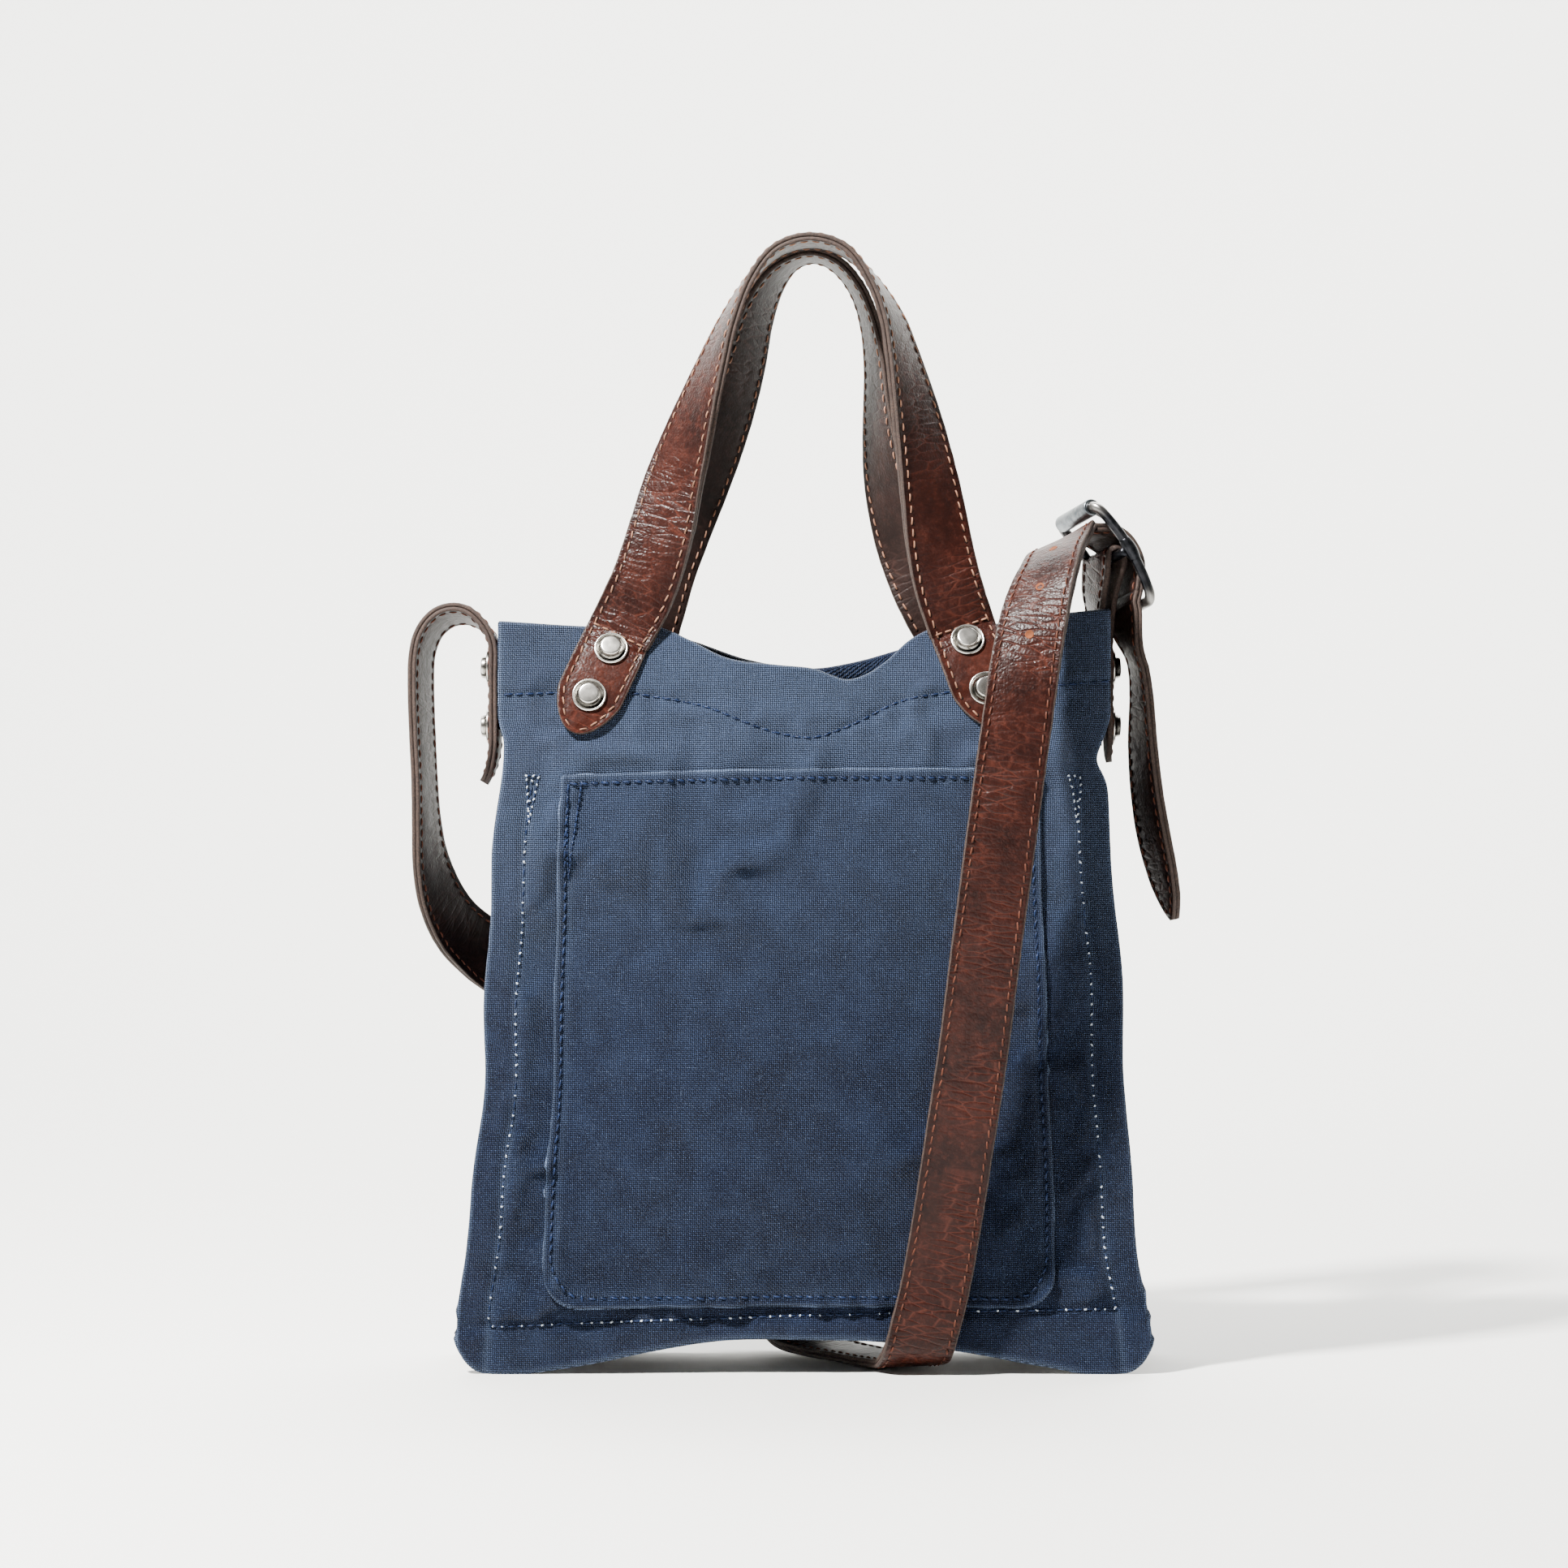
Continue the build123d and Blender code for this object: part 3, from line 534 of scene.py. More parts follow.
def through(points, x):
    """A smooth curve's height at x, through (x, height) points."""
    xs = np.array([p[0] for p in points], float)
    ys = np.array([p[1] for p in points], float)
    slopes = np.gradient(ys, xs)
    x = np.clip(x, xs[0], xs[-1])
    i = np.clip(np.searchsorted(xs, x) - 1, 0, len(xs) - 2)
    step = xs[i + 1] - xs[i]
    t = (x - xs[i]) / step
    rise = (2 * t**3 - 3 * t**2 + 1) * ys[i] + (t**3 - 2 * t**2 + t) * step * slopes[i]
    return rise + (3 * t**2 - 2 * t**3) * ys[i + 1] + (t**3 - t**2) * step * slopes[i + 1]


def ripple(x, z, size, seed):
    """Smooth noise over arrays of x and z, about -1 to 1."""
    flat_x, flat_z = np.broadcast_arrays(np.asarray(x, float), np.asarray(z, float))
    values = [noise.noise(Vector((a / size, b / size, seed))) for a, b in zip(flat_x.ravel(), flat_z.ravel())]
    return np.array(values).reshape(flat_x.shape)


# ---- the canvas body's shape --------------------------------------------------------------------
MOUTH = {
    FRONT: [(-111, 272), (-80, 270.6), (-52, 270), (-41, 265), (-30, 259.5), (-10, 256.3), (3, 255),
            (17, 251), (24, 253.5),
            (31, 258.5), (38, 265), (46, 269.5), (72, 271.5), (94, 275), (111, 276.5)],
    BACK: [(-111, 272), (-75, 270.6), (-45, 267), (-20, 259), (5, 256), (20, 258.5), (38, 263.5), (55, 268),
           (80, 271.5), (111, 275)],
}
HEM = {
    FRONT: [(-112, 246.5), (-60, 246.6), (-36, 242), (-10, 232.6), (4, 231), (16, 235), (35, 244), (50, 247),
            (80, 249), (112, 251.5)],
    BACK: [(-112, 246.5), (-60, 245), (-25, 236), (5, 232), (25, 236), (60, 245), (112, 250)],
}


def half_width(z):
    """Half the body's width, flared towards the base."""
    return TOP_HALF_WIDTH + BASE_FLARE * np.maximum(0, 1 - z / 230) ** 1.4


def half_depth(z):
    """Half the body's depth at its sides, narrowing to the mouth."""
    narrowing = np.clip((z - 190) / (BODY_HEIGHT - 190), 0, 1)
    return HALF_DEPTH - (HALF_DEPTH - MOUTH_HALF_DEPTH) * narrowing


def lean(x, z):
    """How far the upper edge leans in."""
    share = smooth_step((TOP_HALF_WIDTH - np.abs(x)) / 34)
    rise = np.maximum(0, (z - 215) / (BODY_HEIGHT - 215))
    return LEAN * share * rise * rise


def wall_depth(x, z):
    """The plain wall's distance from the mid plane."""
    across = np.cos(math.pi / 2 * np.minimum(1, np.abs(x) / half_width(z)))
    up = np.sin(math.pi * np.clip(z / 235, 0, 1))
    return half_depth(z) + BELLY * across * up - lean(x, z)


def base_seam(x):
    """Height of the bottom seam's stitching."""
    part = x / 113
    return 21.3 + 3.2 * part - 0.9 * part**2


def bottom_edge(x):
    """The body's lower edge: corners on the floor, an arch between them, rounded outer corners."""
    arch = through([(-103, 0), (-80, 3.6), (-58, 8.2), (-30, 12.6), (0, 13), (30, 12), (58, 8.4), (80, 4.6),
                    (103, 0)], x)
    outside = np.clip(np.abs(x) - (half_width(0) - CORNER), 0, CORNER)
    return arch + CORNER - np.sqrt(CORNER**2 - outside**2)


RIVETS = {FRONT: [((-70.3, 263.2), (-78.2, 245.7)), ((59.8, 266), (66.2, 248.3))],
          BACK: [((-62, 263.5), (-69.5, 246)), ((57.4, 263.5), (64.6, 246))]}
SIDE_RIVETS_Z = (257.0, 235.5)


# ---- buckled cloth by simulation ----------------------------------------------------------------
CLOTH_STEP = 5.0
CLOTH_HALF, CLOTH_HEIGHT = 130, 280  # the grid's reach to either side and upward
CLOTH_GROWTH, CLOTH_LIMIT = 0.035, 2.6
CLOTH_FRAMES = 32
FINER = 8  # how many times finer the result is resampled


def catmull(a, b, c, d, t):
    """The smooth curve through four values, a share t of the way from b to c."""
    bend, twist = 2 * a - 5 * b + 4 * c - d, 3 * b - a - 3 * c + d
    return 0.5 * (2 * b + (c - a) * t + bend * t * t + twist * t * t * t)


def crumple(side):
    """How far the body's cloth buckles in and out, by simulating a flat panel that is held at its seams, hem
    and tabs while its threads grow: a grid of heights in millimetres."""
    columns, rows = int(2 * CLOTH_HALF / CLOTH_STEP) + 1, int(CLOTH_HEIGHT / CLOTH_STEP) + 1
    mesh = bpy.data.meshes.new("cloth")
    places = [(-CLOTH_HALF + j * CLOTH_STEP, i * CLOTH_STEP) for i in range(rows) for j in range(columns)]
    points = []
    for x, z in places:
        start = 0.5 * noise.noise(Vector((x / 45, z / 38, 3.7 * side)))
        points.append((x * MM, start * MM, z * MM))
    mesh.from_pydata(points, [], grid_faces(rows, columns))
    cloth = add_object("cloth", mesh)
    held = cloth.vertex_groups.new(name="held")
    for index, (x, z) in enumerate(places):
        seam = abs(x) > half_width(z) - SEAM_ALLOWANCE - 2 or z < base_seam(x) + 2
        hem = z > through(HEM[side], x) + 4
        tab = any(abs(x - (a[0] + b[0]) / 2) < 15 and z > b[1] - 16 for a, b in RIVETS[side])
        if seam or hem or tab:
            held.add([index], 1.0, "REPLACE")
    modifier = cloth.modifiers.new("Cloth", "CLOTH")
    settings = modifier.settings
    settings.vertex_group_mass = "held"
    settings.shrink_min = -CLOTH_GROWTH
    settings.effector_weights.gravity = 0
    settings.quality = 6
    settings.mass = 0.25
    settings.tension_stiffness = settings.compression_stiffness = 30
    settings.shear_stiffness = 12
    settings.bending_stiffness = 1.2
    modifier.collision_settings.use_collision = False
    scene = bpy.context.scene
    for step in range(1, CLOTH_FRAMES + 1):
        scene.frame_set(step)
    shaped = cloth.evaluated_get(bpy.context.evaluated_depsgraph_get())
    moved = np.array([v.co[1] for v in shaped.data.vertices]) * 1000
    scene.frame_set(1)
    bpy.data.objects.remove(cloth)
    moved = moved.reshape(rows, columns)
    return CLOTH_LIMIT * np.tanh(moved / CLOTH_LIMIT)


def smooth_grid(grid):
    """The cloth's grid resampled finer with smooth curves."""
    for axis in (0, 1):
        count = grid.shape[axis]
        fine = np.linspace(0, count - 1, (count - 1) * FINER + 1)
        i = np.clip(fine.astype(int), 0, count - 2)
        t = fine - i
        take = [np.take(grid, np.clip(i + k, 0, count - 1), axis=axis) for k in (-1, 0, 1, 2)]
        t = t.reshape((-1, 1)) if axis == 0 else t.reshape((1, -1))
        grid = catmull(*take, t)
    return grid


BUCKLES = {side: smooth_grid(crumple(side)) for side in (FRONT, BACK)}


def buckled(side, x, z):
    """The simulated depth at x, z."""
    grid = BUCKLES[side]
    fine = CLOTH_STEP / FINER
    row = np.clip(np.asarray(z, float) / fine, 0, grid.shape[0] - 1.001)
    column = np.clip((np.asarray(x, float) + CLOTH_HALF) / fine, 0, grid.shape[1] - 1.001)
    i, j = row.astype(int), column.astype(int)
    s, t = row - i, column - j
    low = grid[i, j] * (1 - t) + grid[i, j + 1] * t
    high = grid[i + 1, j] * (1 - t) + grid[i + 1, j + 1] * t
    return low * (1 - s) + high * s


def cloth_depth(side, x, z):
    """The outer face's distance from the mid plane with everything that shapes real cloth."""
    x, z = np.asarray(x, float), np.asarray(z, float)
    depth = wall_depth(x, z) + buckled(side, x, z)
    inside = half_width(z) - SEAM_ALLOWANCE - np.abs(x)
    sewn = smooth_step((SEAM_TOP + 4 - z) / 8)
    depth = depth - 1.2 * np.exp(-((inside / 2.4) ** 2)) * sewn
    depth = depth - 1.2 * np.exp(-(((z - base_seam(x)) / 2.4) ** 2))
    above = z - through(HEM[side], x)
    depth = depth + 0.55 * smooth_step(above / 2.5) - 0.45 * np.exp(-((above / 1.4) ** 2))
    free = smooth_step(-inside / 8) * sewn + smooth_step((base_seam(x) - 3 - z) / 10)
    return depth + 0.9 * np.minimum(free, 1) * ripple(x, z, 26,
                                                      5.5 + side) + 0.25 * ripple(x, z, 13, 9.1 * side)


def on_cloth(side, x, z, outward=0.0):
    """(point, normal) on the body's outer face."""
    step = 0.6
    around = np.array([[x, x + step, x - step, x, x], [z, z, z, z + step, z - step]])
    depth = cloth_depth(side, around[0], around[1])
    slope_x = (depth[1] - depth[2]) / (2 * step)
    slope_z = (depth[3] - depth[4]) / (2 * step)
    normal = Vector((-slope_x, side, -slope_z)).normalized()
    return Vector((x, side * depth[0], z)) + normal * outward, normal


# ---- stitches -----------------------------------------------------------------------------------
def along_path(track, spacing):
    """(point, normal, direction) every `spacing` along a track of (point, normal)."""
    out = []
    travelled, target = 0.0, spacing / 2
    for (a, na), (b, nb) in zip(track, track[1:]):
        run = (b - a).length
        while run > 1e-9 and travelled + run >= target:
            t = (target - travelled) / run
            out.append((a.lerp(b, t), na.lerp(nb, t).normalized(), (b - a).normalized()))
            target += spacing
        travelled += run
    return out


# a thread's sections: (share of its length, share of its radius, lift in radii)
RINGS = [(-0.5, 0.35, -0.7), (-0.42, 0.85, 0.0), (-0.15, 1.0, 0.6), (0.15, 1.0, 0.6), (0.42, 0.85, 0.0),
         (0.5, 0.35, -0.7)]
SIDES = 6


def stitch_solids(track, pitch, length, radius=THREAD, slant=0.0, jitter=0.08, spread=0.06, missing=0.0):
    """Small humped threads along a track."""
    solids = []
    for point, normal, along in along_path(track, pitch):
        if random.random() < missing:
            continue
        side = along.cross(normal).normalized()
        turn = slant + random.uniform(-jitter, jitter)
        forward = (along * math.cos(turn) + side * math.sin(turn)).normalized()
        flank = forward.cross(normal).normalized()
        long = length * random.uniform(1.0 - spread, 1.0 + spread)
        points = []
        for share, thick, lift in RINGS:
            centre = point + forward * (share * long) + normal * (radius * lift)
            points += ring_points(centre, flank, normal, radius * thick, radius * thick, SIDES)
        faces = grid_faces(len(RINGS), SIDES, True) + end_caps(SIDES, len(points))
        solids.append((points, faces))
    return solids


def needle_holes(track, pitch, radius=0.42):
    """Small dark dimples between the stitches of a track, half a pitch along from them; their dark colour is
    painted shade in the holes.
    """
    solids = []
    for point, normal, _ in along_path(track, pitch / 2)[1::2]:
        profile = [(0, 0.05), (radius * 0.7, 0.05), (radius, 0.0), (radius * 0.6, -0.12), (0, -0.12)]
        solids.append(turned(profile, 8, point, normal))
    return solids


def cloth_track(side, points, outward=0.1, step=1.5):
    """A track on the body's face through (x, z) points."""
    track = []
    for (x0, z0), (x1, z1) in zip(points, points[1:]):
        count = max(1, int(math.hypot(x1 - x0, z1 - z0) / step))
        for k in range(count):
            t = k / count
            track.append(on_cloth(side, x0 + (x1 - x0) * t, z0 + (z1 - z0) * t, outward))
    track.append(on_cloth(side, *points[-1], outward))
    return track


# ---- canvas pieces ------------------------------------------------------------------------------
def panel(side):
    """A whole wall with its seam allowances, its arched base and its turned hem."""
    name = SIDE_NAMES[side]
    columns, rows = 190, 210
    s = np.linspace(-1, 1, columns)
    s = s * (1 - 0.04 * (1 - s**2))
    t = np.linspace(0, 1, rows)
    flat_x = s * half_width(0)
    low = bottom_edge(flat_x)
    top_x = s * TOP_HALF_WIDTH
    high = through(MOUTH[side], top_x)
    z = low[None, :] + t[:, None] * (high - low)[None, :]
    x = s[None, :] * half_width(z)
    y = side * cloth_depth(side, x, z)
    outer = sheet_grid(x, y, z)
    roll = [(HEM_ROLL * (1 - math.cos(turn)),
             HEM_ROLL * math.sin(turn)) for turn in np.linspace(0, math.pi, 7)[1:]]
    roll += [(2 * HEM_ROLL, -1.5 * k) for k in (1, 2, 3)]
    extra = [outer[-1] + np.array((0, -side * inward, rise)) for inward, rise in roll]
    grid = np.concatenate([outer, np.array(extra)], axis=0)
    uv = np.stack([grid[:, :, 0], grid[:, :, 2]], axis=2)
    uv[rows:, :, 1] = uv[rows - 1, :, 1][None, :] + np.cumsum([0.7] * len(roll))[:, None]
    edge = np.abs(x) - (half_width(z) - 1.4)
    wear = 0.8 * np.clip(edge / 1.4, 0, 1) + 0.8 * np.clip((low[None, :] + 1.6 - z) / 1.6, 0, 1)
    seam = np.exp(-(((np.abs(x) - half_width(z) + SEAM_ALLOWANCE) / 1.5) ** 2)) * 0.3 * (z < SEAM_TOP)
    # paler towards the mouth: mostly painted light on the upper wall, partly real rubbing near the mouth
    lightened = 0.45 * smooth_step((z - 95) / 150)
    wear = np.concatenate([wear + seam + lightened, np.zeros((len(roll), columns))])
    wear[rows:rows + 3] = 0.7
    wear = np.clip(wear, 0, 1)
    piece = thick_sheet(f"{name}_canvas", grid, uv, CANVAS, [CANVAS_LOOK], wear, side == BACK)
    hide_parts(f"{name}_panel")
    return piece


def seam_band(side):
    """The gussets' seam allowance behind a panel's border, from one side's top round the base to the other's
    top."""
    inner, outer = [], []
    for z in np.linspace(SEAM_TOP - 5, CORNER + 1, 60):
        inner.append((-(half_width(z) - SEAM_ALLOWANCE - 1), z))
        outer.append((-(half_width(z) - 0.5), z))
    centre = half_width(0) - CORNER
    for turn in np.linspace(0, math.pi / 2, 12)[1:-1]:
        inner.append((-(half_width(15) - SEAM_ALLOWANCE - 1), base_seam(-113) + 1))
        outer.append((-(centre + (CORNER - 0.5) * math.cos(turn)), CORNER - (CORNER - 0.5) * math.sin(turn)))
    for x in np.linspace(-centre, 0, 60):
        inner.append((x, float(base_seam(x)) + 1))
        outer.append((x, float(bottom_edge(x)) + 0.5))
    inner += [(-x, base_seam(-x) + 1 if abs(x) < centre + 1 and z < 30 else z) for x, z in inner[-2::-1]]
    outer += [(-x, z) for x, z in outer[-2::-1]]
    inner, outer = np.array(inner), np.array(outer)
    share = np.linspace(0, 1, 9)
    flat = inner[None] * (1 - share[:, None, None]) + outer[None] * share[:, None, None]
    x, z = flat[:, :, 0], flat[:, :, 1]
    y = side * (cloth_depth(side, x, z) - CANVAS - 0.35)
    grid = sheet_grid(x, y, z)
    uv = sheet_grid(x, z)
    wear = np.tile((share**6)[:, None], (1, len(inner)))
    return thick_sheet(f"{SIDE_NAMES[side]}_seam_allowance", grid, uv, 1.0, [SHADED_CANVAS], wear,
                       side == FRONT)


def gusset(hand):
    """A side wall between the panels' seams: a soft fold inward, flush and full above the seams' tops."""
    name = "left" if hand < 0 else "right"
    heights = np.linspace(GUSSET_LOW, GUSSET_HIGH, 150)
    share = np.linspace(-1, 1, 61)
    grid, uv = [], []
    for z in heights:
        depth_front = float(cloth_depth(FRONT, hand * (half_width(z) - SEAM_ALLOWANCE), z)) - BEHIND_CANVAS
        depth_back = float(cloth_depth(BACK, hand * (half_width(z) - SEAM_ALLOWANCE), z)) - BEHIND_CANVAS
        open_out = float(smooth_step((z - 204) / 17))
        reach = (half_width(z) - SEAM_ALLOWANCE) * (1 - open_out) + (TOP_HALF_WIDTH - 0.2) * open_out
        y = np.where(share < 0, share * depth_front, share * depth_back)
        hollow = -1.6 * (1 - share**2) * (1 - open_out) * math.sin(math.pi * min(1, z / 217))
        lip = 1.8 * np.abs(share) ** 24 * (1 - open_out) - 1.1 * np.abs(share) ** 14 * open_out
        soft = 0.8 * ripple(share * 30, z, 24, 30 + hand) * (1 - share**6) * (0.3 + 0.7 * (1 - open_out))
        grid.append(np.stack([hand * (reach + hollow + lip + soft), y, np.full(len(share), z)], axis=1))
        uv.append(np.stack([share * 30, np.full(len(share), z)], axis=1))
    grid, uv = np.array(grid), np.array(uv)
    edge = np.zeros(grid.shape[:2])
    edge[-4:] = 0.8
    piece = thick_sheet(f"{name}_gusset_canvas", grid, uv, CANVAS, [SHADED_CANVAS], edge, hand < 0)
    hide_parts(f"{name}_gusset")
    return piece


def base_gusset():
    """The bag's underside, arched between the corners that carry it."""
    across = np.linspace(-115.2, 115.2, 150)
    share = np.linspace(-1, 1, 45)
    x, s = np.meshgrid(across, share, indexing="ij")
    z = base_seam(x) + 1.5 * np.cos(x / 115.2 * math.pi / 2) * (1 - s**2) + 0.9 * ripple(x, s * 30, 28, 77)
    depth_front = cloth_depth(FRONT, x, z) - BEHIND_CANVAS
    depth_back = cloth_depth(BACK, x, z) - BEHIND_CANVAS
    y = np.where(s < 0, s * depth_front, s * depth_back)
    grid = sheet_grid(x, y, z - 1.6 * np.abs(s) ** 24)
    uv = sheet_grid(s * 30, x)
    piece = thick_sheet("base_canvas", grid, uv, CANVAS, [SHADED_CANVAS], np.zeros(x.shape))
    bands = [seam_band(side) for side in (FRONT, BACK)]
    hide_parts("bottom_gusset")
    return [piece, *bands]


def pocket_outline(s, t):
    """The patch pocket's point for s across (-1..1) and t up (0..1)."""
    top = 217.0 + 2.4 * np.sin(np.clip((s + 1) / 1.3, 0, 1) * math.pi / 2)
    base = POCKET_LOW + 0.5 * np.cos(s * 2.6)
    outside = np.clip(np.abs(s) * POCKET_HALF_LOW - (POCKET_HALF_LOW - CORNER), 0, CORNER)
    bottom = base + CORNER - np.sqrt(CORNER**2 - outside**2)
    z = bottom + t * (top - bottom)
    up = np.clip((z - POCKET_LOW) / (POCKET_TOP - POCKET_LOW), 0, 1)
    half = POCKET_HALF_LOW - POCKET_NARROWING * up + 0.5 * np.sin(z / 31)
    return POCKET_X + s * half, z


def pocket_depth(x, z, s, t):
    """The patch's outer face: held down at its sewn border, a little full inside it."""
    edge = np.minimum(np.minimum((1 - np.abs(s)) * POCKET_ACROSS, t * POCKET_UP), 60)
    full = smooth_step((edge - 3) / 16) * 1.1
    groove = 0.5 * np.exp(-(((edge - 3) / 1.1) ** 2))
    turned = 0.35 * smooth_step((3.2 - edge) / 1.6) + 0.35 * smooth_step((t * POCKET_UP - 186.5) / 1.5)
    return cloth_depth(FRONT, x, z) + 1.6 + full - groove + turned


def pocket():
    """The patch pocket, worn pale along its border, and paler towards the top with painted light."""
    s = np.linspace(-1, 1, 170)
    s = np.sign(s) * (1 - (1 - np.abs(s)) ** 1.12)
    t = np.linspace(0, 1, 170)
    s, t = np.meshgrid(s, t)
    x, z = pocket_outline(s, t)
    y = -pocket_depth(x, z, s, t)
    border = np.minimum((1 - np.abs(s)) * POCKET_ACROSS, t * POCKET_UP)
    wear = np.clip((1.1 - border) / 1.0, 0, 1) + np.clip((t * POCKET_UP - 188.7) / 1.2, 0, 1)
    # the last term is painted light: paler towards the top, as on the walls
    wear = wear * 0.55 + 0.12 * np.exp(-(((border - 4.5) / 1.6) ** 2)) + 0.24 * smooth_step((z - 95) / 150)
    wear = np.clip(wear, 0, 1)
    piece = thick_sheet("patch_pocket", sheet_grid(x, y, z), sheet_grid(x, z), CANVAS, [CANVAS_LOOK], wear)
    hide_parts("front_pocket")
    return piece


def pocket_track(samples):
    """A track on the patch through (s, t) samples."""
    track = []
    for s, t in samples:
        points = []
        for ds, dt in ((0, 0), (0.004, 0), (0, 0.004)):
            x, z = pocket_outline(np.float64(s + ds), np.float64(t + dt))
            points.append(Vector((float(x), -float(pocket_depth(x, z, s + ds, t + dt)), float(z))))
        normal = (points[1] - points[0]).cross(points[2] - points[0]).normalized()
        if normal.y > 0:
            normal = -normal
        track.append((points[0] + normal * 0.12, normal))
    return track


def facing(side):
    """The hem's inner ply."""
    name = SIDE_NAMES[side]
    s = np.linspace(-1, 1, 130)
    t = np.linspace(0, 1, 24)
    s, t = np.meshgrid(s, t)
    x = s * (TOP_HALF_WIDTH - 3)
    low, high = through(HEM[side], x) - 3, through(MOUTH[side], x) - 1.2
    z = low + t * (high - low)
    y = side * (cloth_depth(side, x, z) - BEHIND_CANVAS)
    grid, uv = sheet_grid(x, y, z), sheet_grid(x, z)
    piece = thick_sheet(f"{name}_hem_ply", grid, uv, 1.0, [CANVAS_LOOK], np.zeros(s.shape), side == BACK)
    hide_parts(f"{name}_hem_facing")
    return piece


def lining():
    """A loose inner bag: rounded rectangles from the hem down to a flat floor, with slack in its walls."""
    heights = np.concatenate([[LINING_FLOOR + 0.3, LINING_FLOOR], np.linspace(LINING_FLOOR, LINING_TOP, 70)])
    around = np.linspace(0, 2 * math.pi, 200, endpoint=False)
    rows = []
    for index, z in enumerate(heights):
        pull = float(smooth_step((z - 190) / 55))
        half_x = LINING_HALF_X - 1.5 * z / LINING_TOP
        half_y = LINING_HALF_Y * (1 - pull) + LINING_NECK_Y * pull
        if index == 0:
            half_x, half_y = half_x - 9, half_y - 9
        cosine, sine = np.cos(around), np.sin(around)
        x = half_x * np.sign(cosine) * np.abs(cosine) ** 0.22
        y = half_y * np.sign(sine) * np.abs(sine) ** 0.22
        slack = 1.2 * ripple(x, np.full(len(x), z), 34, 60) * np.sign(y)
        rows.append(np.stack([x, y - slack * (1 - pull) - 0.5 * np.sign(y), np.full(len(x), z)], axis=1))
    inner = np.array(rows)
    count, ring = inner.shape[:2]
    points = inner.reshape(-1, 3)
    centre = inner.mean(axis=1, keepdims=True)
    away = inner - centre
    outer = (inner + away / np.linalg.norm(away, axis=2, keepdims=True) * 0.6).reshape(-1, 3)
    outer[:, 2] = np.maximum(outer[:, 2], 24.7)
    faces = grid_faces(count, ring, closed=True)
    faces = [face[::-1] for face in faces] + [tuple(v + count * ring for v in face) for face in faces]
    faces.append(tuple(range(ring)))
    faces.append(tuple(range(count * ring + ring - 1, count * ring - 1, -1)))
    top = (count - 1) * ring
    for k in range(ring):
        m = (k + 1) % ring
        faces.append((top + k, top + m, count * ring + top + m, count * ring + top + k))
    uvs = np.concatenate([np.stack([points[:, 0] + points[:, 1], points[:, 2]], axis=1)] * 2)
    piece = mesh_object("lining_bag", np.concatenate([points, outer]), faces, [LINING_LOOK], uvs)
    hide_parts("lining")
    return piece


def slip_pocket():
    """A slip pocket hung inside the back wall."""
    s, t = np.meshgrid(np.linspace(-1, 1, 60), np.linspace(0, 1, 50))
    x, z = s * 62, 102 + t * 96
    y = 22.0 - 0.9 * np.sin(math.pi * np.clip((s + 1) / 2, 0, 1)) * t - 0.3 * ripple(x, z, 20, 14)
    grid = sheet_grid(x, y, z)
    piece = thick_sheet("slip_pocket_cloth", grid, sheet_grid(x, z), 0.8, [LINING_LOOK], np.zeros(s.shape))
    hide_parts("inner_slip_pocket")
    return piece


def rivet_patches(side):
    """Leather squares behind the rivets."""
    name = SIDE_NAMES[side]
    made = []
    for pair in RIVETS[side]:
        s, t = np.meshgrid(np.linspace(-1, 1, 24), np.linspace(-1, 1, 34))
        x = (pair[0][0] + pair[1][0]) / 2 + 10.8 * np.sign(s) * np.abs(s) ** 0.9
        z = (pair[0][1] + pair[1][1]) / 2 - 1 + 16.8 * t
        y = side * (wall_depth(x, z) - CANVAS - 1.75)
        grid = sheet_grid(x, y, z)
        if side == BACK:
            grid = grid[:, ::-1]
        uv = sheet_grid(s * 10, t * 17)
        made.append(thick_sheet(f"{name}_patch_{len(made)}", grid, uv, 1.2, [UNDERSIDE, RAW_EDGE]))
    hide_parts(f"{name}_rivet_patches")
    return made


bag_pieces = []
for side in (FRONT, BACK):
    bag_pieces += [panel(side), facing(side), *rivet_patches(side)]
bag_pieces += [gusset(-1), gusset(1), *base_gusset(), pocket(), lining(), slip_pocket()]


